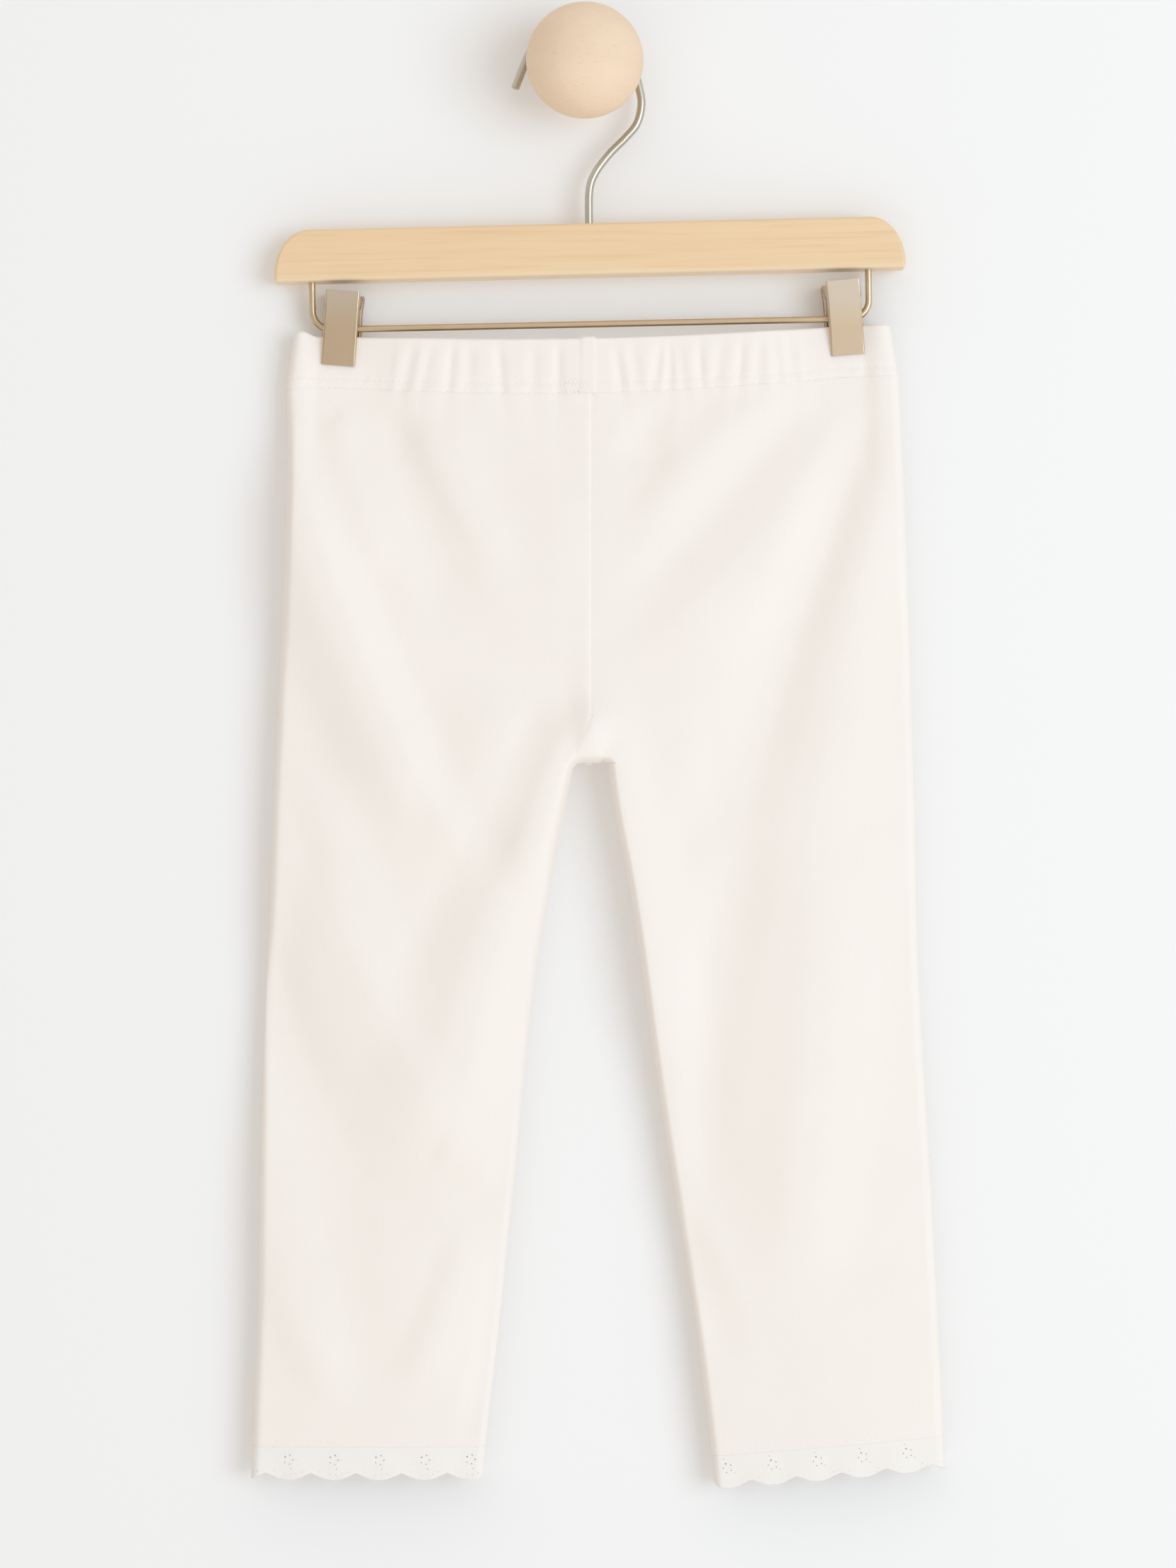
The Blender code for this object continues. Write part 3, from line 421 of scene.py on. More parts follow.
def wire(name, points, diameter, chamfer=WIRE_CHAMFER, resolution=6):
    """A round wire along the points, its two cut ends slightly chamfered, made a mesh."""
    first = points[0] + (points[1] - points[0]).normalized() * chamfer
    last = points[-1] + (points[-2] - points[-1]).normalized() * chamfer
    route = [points[0], first] + points[1:-1] + [last, points[-1]]
    curve = bpy.data.curves.new(name, "CURVE")
    curve.dimensions = "3D"
    curve.bevel_depth = diameter / 2
    curve.bevel_resolution = resolution
    curve.use_fill_caps = True
    spline = curve.splines.new("POLY")
    spline.points.add(len(route) - 1)
    for point, where in zip(spline.points, route):
        point.co = (*where, 1)
    spline.points[0].radius = spline.points[-1].radius = 1 - 2 * chamfer / diameter
    piece = add_piece(name, curve)
    bpy.ops.object.convert(target="MESH")
    bpy.ops.object.shade_smooth_by_angle(angle=math.radians(40))
    return piece


nickel, place, shader = finish("nickel", Metallic=1.0)
haze = speckle(place, 90, 3)
scratch = speckle(drawn_out(place, (1, 1, 1.6)), 1500, 3, 0.7)
on_hook = ramp((measure(place, "Z") - HOOK_FOOT_Z) * 25 + 0.5, 0.40, 0.60)
tone = on_hook.blend(haze.blend(*ROD_TONES), haze.blend(*HOOK_TONES))
feed(shader, tone, scratch, 0.20, 0.00003, Roughness=0.30 + scratch * 0.12)

drop = HOOK_ARC_RADIUS - HOOK_WIRE / 2 - KNOB_NECK_RADIUS - HOOK_SEAT_GAP
arc_z = -math.sqrt(drop**2 - HOOK_ARC_X**2)
arc = []
for degrees in np.linspace(HOOK_ARC_START, HOOK_ARC_END, HOOK_ARC_STEPS):
    angle = math.radians(degrees)
    x, z = HOOK_ARC_RADIUS * math.cos(angle), HOOK_ARC_RADIUS * math.sin(angle)
    arc.append(Vector((HOOK_ARC_X + x, HANGER_Y, arc_z + z)))
tip = arc[-1] + (arc[-1] - arc[-2]).normalized() * HOOK_TIP_LENGTH
stem = [to_hanger(0, 0.5 * HOOK_WIRE), to_hanger(0, -SOCKET_DEPTH)]
bends = [Vector((bend.x, HANGER_Y, bend.z)) for bend in HOOK_BENDS]
lower = smooth_through([arc[0]] + bends + stem, 7)
hook = wire("hook_wire", lower[::-1] + arc[1:] + [tip], HOOK_WIRE)
hook.data.materials.append(nickel)
settle(hook, "nickel", "hanger_hook")

ends = [to_hanger(side * ROD_HALF_SPAN, -BAR_HEIGHT + 0.9 * SOCKET_DEPTH) for side in (-1, 1)]
left_bend, right_bend = [], []
for angle in np.radians(np.linspace(0, 90, 13)):
    x = ROD_HALF_SPAN - ROD_BEND_RADIUS * (1 - math.cos(angle))
    z = -ROD_DROP + ROD_BEND_RADIUS * (1 - math.sin(angle))
    left_bend.append(to_hanger(-x, z))
    right_bend.append(to_hanger(x, z))
rod = wire("rod_wire", [ends[0]] + left_bend + right_bend[::-1] + [ends[1]], ROD_WIRE)
rod.data.materials.append(nickel)
settle(rod, "nickel", "clip_rod")


# Spring clips: pressed steel plates with a satin champagne plate. Each has its long sides turned in,
# ears with the rod through them, and a coil spring on the rod whose legs push the levers apart.
CLIP_WIDTH = 0.0161
CLIP_HEIGHT = 0.0350
CLIP_PLATE = 0.0010
CLIP_SIDE_PLATE = 0.0006
CLIP_JAW = 0.00285
CLIP_LEVER_SPREAD = 0.0085
CLIP_TURNED_SIDE = 0.0014
CLIP_CORNER = 0.0009
CLIP_EDGE = 0.00022
CLIP_CLOTH = 0.00275
CLIP_CLOTH_TOP = -0.0055
CLIP_EAR_TOP = 0.0100
CLIP_EAR_REACH = -0.0018
SPRING_WIRE = 0.0008
SPRING_RADIUS = 0.0023
SPRING_TURNS = 5
SPRING_STEPS = 16
SPRING_PITCH = 1.15 * SPRING_WIRE
SPRING_START = -0.3
SPRING_LEG = 0.0095
HAIR = 0.0001
SATIN_TONES = ((0.628, 0.469, 0.311), (0.694, 0.553, 0.394))
SATIN_RIGHT_CLIP = (0.660, 0.503, 0.349)
SATIN_PAINTED_REFLECTION = (0.700, 0.655, 0.575)
Plate = namedtuple("Plate", "side width ear_width turn")
PLATES = (
    Plate("front", CLIP_WIDTH, CLIP_WIDTH, 0),
    Plate("back", 0.0140, 0.0175, math.pi),
)
Clip = namedtuple("Clip", "name x lean")
CLIPS = (
    Clip("left_clip", -0.1171, math.radians(4.4)),
    Clip("right_clip", 0.1228, math.radians(-5.0)),
)

satin, place, shader = finish("satin_plate", Metallic=1.0)
haze = speckle(place, 60, 2)
brush = speckle(drawn_out(place, (3, 1, 0.12)), 900, 3, 0.7)
tone = (haze * 0.5).blend(*SATIN_TONES)
# The right clip's plates take one even tone, slightly lighter than the left clip's.
on_right_clip = ramp(measure(place, "X") * 4 + 0.5, 0.30, 0.70)
tone = on_right_clip.blend(tone, SATIN_RIGHT_CLIP)
# Painted reflection: each plate's upper part is tinted greyer, standing in for a cool light mirrored in the
# leaning plate.
painted_reflection_mask = ramp(measure(place, "Z") * 62 + 7.7, 0.05, 0.95)
tone = (painted_reflection_mask * 0.40).blend(tone, SATIN_PAINTED_REFLECTION)
feed(shader, tone, brush, 0.15, 0.00002, Roughness=0.30 + brush * 0.14)


def stand_off(z):
    """How far a plate's inner face stands off the middle plane at a height over the rod."""
    return CLIP_JAW + (CLIP_LEVER_SPREAD - CLIP_JAW) * (z + CLIP_HEIGHT / 2) / CLIP_HEIGHT


def turned_edge(z):
    """How far off the middle plane a plate's turned side ends: clear of the cloth, then as an ear."""
    if z < CLIP_CLOTH_TOP:
        return min(CLIP_CLOTH, stand_off(z) - HAIR)
    if z < CLIP_EAR_TOP:
        return CLIP_EAR_REACH
    return stand_off(z) - CLIP_TURNED_SIDE


def plate(name, width, ear_width):
    """A plate in the clip's own frame, the rod at the origin, facing -Y."""
    inner = CLIP_WIDTH / 2 - CLIP_SIDE_PLATE
    bpy.ops.mesh.primitive_cube_add(size=1, scale=(CLIP_WIDTH, CLIP_PLATE, CLIP_HEIGHT))
    made = open_up(name)
    cuts = [((side * inner, 0, 0), (1, 0, 0)) for side in (-1, 1)]
    for z in (CLIP_CLOTH_TOP - HAIR, CLIP_CLOTH_TOP, CLIP_EAR_TOP - HAIR, CLIP_EAR_TOP):
        cuts.append(((0, 0, z), (0, 0, 1)))
    for place, normal in cuts:
        bpy.ops.mesh.select_all(action="SELECT")
        bpy.ops.mesh.bisect(plane_co=place, plane_no=normal)
    bpy.ops.mesh.select_mode(type="FACE")
    bpy.ops.mesh.select_all(action="DESELECT")
    form = bmesh.from_edit_mesh(made.data)
    for face in form.faces:
        if face.normal.y > 0.9 and abs(face.calc_center_median().x) > inner:
            face.select_set(True)
    bmesh.update_edit_mesh(made.data)
    bpy.ops.mesh.extrude_region_move(TRANSFORM_OT_translate={"value": (0, CLIP_TURNED_SIDE, 0)})
    form = bmesh.from_edit_mesh(made.data)
    for point in form.verts:
        x, y, z = point.co
        if y > CLIP_PLATE:
            point.co.y = -turned_edge(z)
        else:
            point.co.y = -stand_off(z) + (0 if y > 0 else -CLIP_PLATE)
        wanted = ear_width if CLIP_CLOTH_TOP - HAIR / 2 < z < CLIP_EAR_TOP - HAIR / 2 else width
        point.co.x += math.copysign((wanted - CLIP_WIDTH) / 2, x)
    bmesh.update_edit_mesh(made.data)
    corner = min(width, ear_width) / 2 - HAIR
    select_edges(made, lambda end: abs(end.x) > corner and end.y < -stand_off(end.z) - 0.5 * CLIP_PLATE)
    bpy.ops.mesh.bevel(offset=CLIP_CORNER, segments=5, affect="EDGES")
    close_up()
    apply_modifier(
        made, "BEVEL", width=CLIP_EDGE, segments=2, limit_method="ANGLE", angle_limit=math.radians(55)
    )
    bpy.ops.object.shade_smooth_by_angle(angle=SMOOTH_ANGLE)
    apply_modifier(made, "WEIGHTED_NORMAL", keep_sharp=True)
    made.data.materials.append(satin)
    return made


for clip in CLIPS:
    along = (clip.x - BAR_CENTRE_X) / math.cos(HANGER_TILT)
    pivot = Matrix.Translation(to_hanger(along, -ROD_DROP))
    on_clip = pivot @ Matrix.Rotation(clip.lean, 4, "Y")
    for side, width, ear_width, turn in PLATES:
        made = plate(f"{clip.name}_{side}_plate", width, ear_width)
        made.data.transform(on_clip @ Matrix.Rotation(turn, 4, "Z"))
        settle(made, "satin_plate", f"{clip.name}_{side}")
    coil = []
    for step in range(SPRING_TURNS * SPRING_STEPS + 1):
        turn = step / SPRING_STEPS
        angle = 2 * math.pi * turn + SPRING_START
        y, z = SPRING_RADIUS * math.sin(angle), SPRING_RADIUS * math.cos(angle)
        coil.append(Vector(((turn - SPRING_TURNS / 2) * SPRING_PITCH, y, z)))
    leg_top = stand_off(SPRING_LEG) - SPRING_WIRE
    foot_leg = Vector((coil[0].x, leg_top, SPRING_LEG))
    head_leg = Vector((coil[-1].x, -leg_top, SPRING_LEG))
    coil = [foot_leg, foot_leg.lerp(coil[0], 0.7)] + coil + [head_leg.lerp(coil[-1], 0.7), head_leg]
    spring = wire(clip.name + "_coil_spring", coil, SPRING_WIRE, HAIR, 3)
    spring.data.transform(pivot @ Matrix.Rotation(-HANGER_TILT, 4, "Y"))
    spring.data.materials.append(nickel)
    settle(spring, "nickel", clip.name + "_spring")


# Waistband: a casing of the same white jersey, turned over a flat elastic that gathers it. The two
# walls lie together under the clips and open a little between them. The centre seam shows as a tab.
BAND_WALL = 0.0024
BAND_LEFT = -0.1424
BAND_RIGHT = 0.1495
BAND_HEIGHT = 0.0248
BAND_TOP_TAPER = 0.027
BAND_SEAM_Z = -0.1492
BAND_SLOPE = 0.0209
BAND_SAG = 0.0053
BAND_TOP_SAG = 0.0038
BAND_OPEN = 0.0042
BAND_SIDE_OPEN = 0.0026
BAND_OPEN_RUN = 0.034
BAND_SIDE_RUN = 0.009
BAND_TIP_RADIUS = 0.0042
BAND_LOBE_X = -0.127
BAND_LOBE_RUN = 0.008
BAND_LOBE_LIFT = 0.0026
CLIP_FLAT = 0.0095
SEAM_GAP = 0.0003
CLOSE_GAP = 0.00001
FRONT_GATHERS = (
    -0.0868, -0.0780, -0.0655, -0.0554, -0.0395, -0.0247, -0.0128,
    0.0179, 0.0262, 0.0331, 0.0405, 0.0476, 0.0561, 0.0631, 0.0738, 0.0830, 0.0932, 0.0995,
)
BACK_GATHERS = (
    -0.0890, -0.0745, -0.0640, -0.0570, -0.0445, -0.0350, -0.0215, -0.0120,
    0.0150, 0.0240, 0.0345, 0.0420, 0.0525, 0.0640, 0.0700, 0.0815, 0.0925,
)
GATHER_GROOVE = 0.00070
GATHER_PUFF = 0.00045
GATHER_END = 0.008
GATHER_END_RUN = 0.004
PUFF_CLEARANCE = 0.0034
PUFF_RUN = 0.009
TAB_LEFT = -0.0034
TAB_RIGHT = 0.0054
TAB_THICKNESS = 0.0009
TAB_PEEK = 0.0009
TAB_SOFT_EDGE = 0.0030
TAB_SHARP_EDGE = 0.0009
BACK_TAB_EDGE = 0.0012
STITCH_ROWS = (0.0006, 0.0048)
STITCH_SINK = 0.00018
STITCH_SINK_WIDTH = 0.0005
BAND_ROUGHNESS = 0.00022
WALE_PITCH = 0.00075
COURSE_PITCH = 0.00060
BAND_STEP = 0.0007
JERSEY_TONES = ((0.882, 0.829, 0.778), (0.902, 0.856, 0.808))
JERSEY_FUZZ = (0.820, 0.771, 0.724)


def ease(t):
    """0 below 0, 1 above 1, and a soft step between."""
    t = np.clip(t, 0.0, 1.0)
    return t * t * (3 - 2 * t)


def hump(distance, width):
    return np.exp(-((distance / width) ** 2))


def window(x, left, right, run, last_run=None):
    """0 outside left and right, and 1 between them from a run inside each."""
    return ease((x - left) / run) * ease((right - x) / (last_run or run))


def band_opening(x):
    """How far the middle of the band's wall stands off the middle plane, before its end folds."""
    left, right = CLIPS[0].x, CLIPS[1].x
    shut = BAND_WALL / 2 + SEAM_GAP / 2
    between = window(x, left + CLIP_FLAT, right - CLIP_FLAT, BAND_OPEN_RUN)
    sides = ease((left - CLIP_FLAT - x) / BAND_SIDE_RUN) + ease((x - right - CLIP_FLAT) / BAND_SIDE_RUN)
    return shut + BAND_OPEN * between + BAND_SIDE_OPEN * sides


def band_slant(x, share=0.0):
    """How far the band's line leans and sags at x, from its seam at share 0 to its top edge at 1."""
    middle = (CLIPS[0].x + CLIPS[1].x) / 2
    reach = (CLIPS[1].x - CLIPS[0].x) / 2
    sag = BAND_SAG + (BAND_TOP_SAG - BAND_SAG) * share
    lobe = BAND_LOBE_LIFT * share * ease((BAND_LOBE_X - x) / BAND_LOBE_RUN)
    return BAND_SLOPE * (x - middle) - sag * np.maximum(0.0, 1 - ((x - middle) / reach) ** 2) + lobe


def gather_table(places, seed):
    """Each gather's place, lean, depth, width, run below the seam, middle and reach, all uneven."""
    draw = np.random.default_rng(seed)
    count = len(places)
    return np.stack([
        places,
        draw.uniform(-0.16, 0.18, count),
        draw.uniform(0.55, 1.35, count) * GATHER_GROOVE,
        draw.uniform(0.0018, 0.0034, count),
        draw.uniform(0.006, 0.018, count),
        draw.uniform(0.30, 0.62, count) * BAND_HEIGHT,
        draw.uniform(0.40, 0.85, count) * BAND_HEIGHT,
    ], axis=1)


GATHERS = {-1: gather_table(FRONT_GATHERS, 5), 1: gather_table(BACK_GATHERS, 8)}


def gathers(x, face, rise):
    """Grooves at the gathers and puffs between them, at a height over the seam, below 0 on the legs."""
    table = GATHERS[face]
    rise = rise + 0 * x
    total = 0 * rise
    nearest = 1 + total
    up = np.maximum(rise, 0.0)
    down = np.maximum(-rise, 0.0)
    for place, lean, depth, width, run, middle, reach in table:
        away = x - place - lean * rise
        depth = depth * hump(up - middle, reach)
        total -= depth * hump(away, width * (1 + 30 * down)) * np.exp(-down / run)
        nearest = np.minimum(nearest, np.abs(away))
    inside = window(x, table[0, 0] - GATHER_END, table[-1, 0] + GATHER_END, GATHER_END_RUN)
    puff = GATHER_PUFF * (1 - hump(nearest, PUFF_CLEARANCE)) * np.exp(-down / PUFF_RUN)
    top = 1 - 0.75 * ease((up - 0.6 * BAND_HEIGHT) / (0.36 * BAND_HEIGHT))
    return (total + puff * inside) * top


def tab(x, face):
    """Over the seam's allowance, which is stitched down in the middle, 1 in front and less behind."""
    if face > 0:
        return 0.6 * window(x, TAB_LEFT, TAB_RIGHT, BACK_TAB_EDGE)
    return window(x, TAB_LEFT, TAB_RIGHT, TAB_SOFT_EDGE, TAB_SHARP_EDGE)


def roughen(points, scale, amount):
    """Small uneven rises and falls over a grid of points, the same each time."""
    flat = points.reshape(-1, 3) * scale
    values = [noise.noise(Vector(place)) for place in flat.tolist()]
    return amount * np.array(values).reshape(points.shape[:-1])


def cloth(name, grid, across, down, wall, material):
    """A thin shell whose outer surface is a grid of points, its columns to the right as seen on it."""
    rows, columns = grid.shape[:2]
    index = np.arange(rows * columns).reshape(rows, columns)
    corners = [index[:-1, :-1], index[1:, :-1], index[1:, 1:], index[:-1, 1:]]
    mesh = bpy.data.meshes.new(name)
    mesh.from_pydata(grid.reshape(-1, 3).tolist(), [], np.stack(corners, -1).reshape(-1, 4).tolist())
    layer = mesh.uv_layers.new(name="Cloth")
    loops = np.empty(len(mesh.loops), dtype=np.int32)
    mesh.loops.foreach_get("vertex_index", loops)
    places = np.stack([across, down], -1).reshape(-1, 2)[loops]
    layer.data.foreach_set("uv", places.ravel().astype(np.float32))
    mesh.materials.append(material)
    piece = add_piece(name, mesh)
    bpy.ops.object.mode_set(mode="EDIT")
    bpy.ops.mesh.select_all(action="SELECT")
    bpy.ops.mesh.remove_doubles(threshold=1e-6)
    bpy.ops.object.mode_set(mode="OBJECT")
    if wall:
        apply_modifier(piece, "SOLIDIFY", thickness=wall, offset=-1, use_quality_normals=True)
    bpy.ops.object.shade_smooth()
    return piece


def run_lengths(grid):
    """Lengths along each row of a grid of points, from its first column."""
    steps = np.linalg.norm(np.diff(grid, axis=1), axis=-1)
    return np.concatenate([np.zeros((len(grid), 1)), np.cumsum(steps, axis=1)], axis=1)


def ribs(value, pitch):
    """An even wave of a value, one rib to each pitch."""
    return value.node("Math", {"operation": "SINE"}, {0: value * (2 * math.pi / pitch)})


jersey, place, shader = finish(
    "white_jersey", "UV", Specular_IOR_Level=0.15, Sheen_Weight=0.12, Sheen_Roughness=0.5
)
wale = ribs(measure(place, "X"), WALE_PITCH)
course = ribs(measure(place, "Y"), COURSE_PITCH)
fuzz = speckle(place, 900, 3, 0.65)
tone = speckle(place, 24, 3, 0.55).blend(*JERSEY_TONES)
tone = (fuzz * 0.05).blend(tone, JERSEY_FUZZ)
knit = wale * 0.5 + wale * course * 0.25 + fuzz
feed(shader, tone, knit, 0.30, 0.00005, Roughness=0.86 + fuzz * 0.10)

front_x = np.arange(BAND_RIGHT - BAND_TIP_RADIUS, BAND_LEFT + BAND_TIP_RADIUS, -BAND_STEP)
turns = np.radians(np.linspace(82.5, 7.5, 11))
plan = []
for tip, side in ((BAND_RIGHT, 1), (BAND_LEFT, -1)):
    fold = [(tip - side * BAND_TIP_RADIUS * (1 - math.cos(a)), math.sin(a)) for a in turns]
    plan.append(
        [(x, side, off) for x, off in fold] + [(tip, side, 0.0)]
        + [(x, -side, off) for x, off in reversed(fold)]
    )
plan = plan[0] + [(x, -1, 1.0) for x in front_x] + plan[1] + [(x, 1, 1.0) for x in front_x[::-1]]
plan = np.array(plan + plan[:1])[::-1]

# The section runs up outside, over the top, down inside and back below. Its rows lie closer near
# the seam, so that the stitches' grooves and the seam's edge stay crisp.
near_seam = [
    0.0, 0.00003, 0.0003, 0.0006, 0.0009, 0.0013, 0.0020, 0.0030, 0.0039, 0.0044, 0.0048, 0.0052, 0.0058,
]
outside = near_seam + list(np.linspace(0.0072, 0.94 * BAND_HEIGHT, 15))
section = [(rise, 1.0) for rise in outside]
for angle in np.radians(np.linspace(15, 165, 8)):
    section.append(((0.95 + 0.05 * math.sin(angle)) * BAND_HEIGHT, math.cos(angle)))
section += [(rise, -1.0) for rise in np.linspace(0.94 * BAND_HEIGHT, 0.0, 10)]
section += [(0.0, -0.5), (0.0, 0.0), (0.0, 0.5), (0.0, 1.0)]

middle_x = (BAND_LEFT + BAND_RIGHT) / 2
shrink = 1 - BAND_WALL / (BAND_RIGHT - BAND_LEFT)
plan_x, plan_face, plan_close = plan.T
band_grid = []
for rise, side in section:
    share = rise / BAND_HEIGHT
    along = middle_x + (plan_x - middle_x) * shrink * (1 - BAND_TOP_TAPER * share)
    off = plan_face * band_opening(along) * plan_close
    step_x = np.gradient(along)
    step_y = np.gradient(off)
    step_x[[0, -1]] = along[1] - along[-2]
    step_y[[0, -1]] = off[1] - off[-2]
    length = np.hypot(step_x, step_y)
    out_x, out_y = step_y / length, -step_x / length
    raised = np.zeros(len(plan_x))
    for face in (-1, 1):
        here = plan_face == face
        lift = gathers(plan_x[here], face, rise)
        flap = tab(plan_x[here], face)
        raised[here] = lift * (1 - flap) + flap * TAB_THICKNESS
    for row in STITCH_ROWS:
        raised -= STITCH_SINK * hump(rise - row, STITCH_SINK_WIDTH)
    thick = side * BAND_WALL / 2 + max(side, 0.0) * raised
    x, y = along + out_x * thick, HANGER_Y + off + out_y * thick
    z = BAND_SEAM_Z + CLOSE_GAP + rise + band_slant(along, share)
    z = z + TAB_PEEK * share**3 * np.where(plan_face < 0, tab(plan_x, -1), 0.0)
    band_grid.append(np.stack([x, y, z], -1))
band_grid = np.array(band_grid)
across = run_lengths(band_grid)
down = np.cumsum([0.0] + [
    math.hypot(b[0] - a[0], (b[1] - a[1]) * BAND_WALL / 2) for a, b in zip(section, section[1:])
])
seam_rows = band_grid[:len(near_seam)]
seam_rows[..., 1] += roughen(seam_rows, 260, BAND_ROUGHNESS)
band_grid[-1] = band_grid[0]
waistband = cloth(
    "gathered_waistband", band_grid[::-1], across[::-1], down[::-1, None] + 0 * across, 0, jersey
)
settle(waistband, "white_jersey", "waistband")


# Legs: one panel of jersey each, from the centre front round the side fold to the centre back, and
# closed along the inner leg below the crotch. Large soft folds hang from the clips and the waist.
CENTRE_SEAM_X = 0.0033
GUSSET_TOP_Z = -0.3070
CROTCH_Z = -0.3302
GUSSET_HALF_WIDTH = 0.0086
HEM_Z = -0.6545
SIDE_FOLD_RADIUS = 0.0052
INNER_FOLD_RADIUS = 0.0040
FLAT_EDGE = 0.74
SEAM_FOOT_Z = CROTCH_Z + 0.011
SEAM_FOOT_RUN = 0.013
SEAM_LIFT = 0.00040
SEAM_LIFT_WIDTH = 0.013
SEAM_LIFT_RUN = 0.011
SEAM_LIP = 0.0009
SEAM_GROOVE = 0.00012
SEAM_GROOVE_WIDTH = 0.0030
SEAM_PULL = 0.00020
SEAM_PULL_WIDTH = 0.006
HEM_ROW = 0.0022
HEM_SINK = 0.00020
HEM_SINK_WIDTH = 0.0006
SEAM_FADE = 0.130
HEM_FADE = 0.110
WAIST_FADE = 0.075
WAIST_STEP = 0.00006
WAIST_STEP_RUN = 0.0012
BODY_FADE = 0.06
FOLD_START = 0.020
FOLD_RISE = 0.25
FOLD_FALL = 0.30
TENT_AT = np.linspace(0, 1, 201)
CRUMPLES = ((26, 0.00045), (70, 0.00012))
JERSEY_THICKNESS = 0.0008
PANEL_STEPS = 60
TURN_STEPS = 9
TABLE_BLUR = 0.012

Outline = namedtuple("Outline", "z outer inner")
LEFT_OUTLINE = (
    Outline(-0.152, -0.1424, 0.0033),
    Outline(-0.163, -0.1415, 0.0033),
    Outline(-0.203, -0.1421, 0.0033),
    Outline(-0.271, -0.1448, 0.0033),
    Outline(-0.332, -0.1476, -0.0055),
    Outline(-0.352, -0.1485, -0.0095),
    Outline(-0.385, -0.1496, -0.0154),
    Outline(-0.419, -0.1511, -0.0218),
    Outline(-0.453, -0.1525, -0.0262),
    Outline(-0.520, -0.1547, -0.0325),
    Outline(-0.588, -0.1557, -0.0396),
    Outline(-0.655, -0.1583, -0.0472),
    Outline(-0.680, -0.1592, -0.0487),
)
RIGHT_OUTLINE = (
    Outline(-0.152, 0.1495, 0.0033),
    Outline(-0.203, 0.1525, 0.0033),
    Outline(-0.271, 0.1548, 0.0033),
    Outline(-0.332, 0.1566, 0.0110),
    Outline(-0.352, 0.1572, 0.0134),
    Outline(-0.385, 0.1577, 0.0203),
    Outline(-0.419, 0.1586, 0.0256),
    Outline(-0.453, 0.1602, 0.0301),
    Outline(-0.520, 0.1643, 0.0405),
    Outline(-0.588, 0.1680, 0.0520),
    Outline(-0.655, 0.1708, 0.0606),
    Outline(-0.680, 0.1718, 0.0630),
)
Depth = namedtuple("Depth", "z middle half")
DEPTHS = (
    Depth(-0.150, -0.0110, 0.0080),
    Depth(-0.190, -0.0118, 0.0088),
    Depth(-0.240, -0.0125, 0.0095),
    Depth(-0.400, -0.0125, 0.0092),
    Depth(-0.550, -0.0124, 0.0090),
    Depth(-0.680, -0.0120, 0.0082),
)
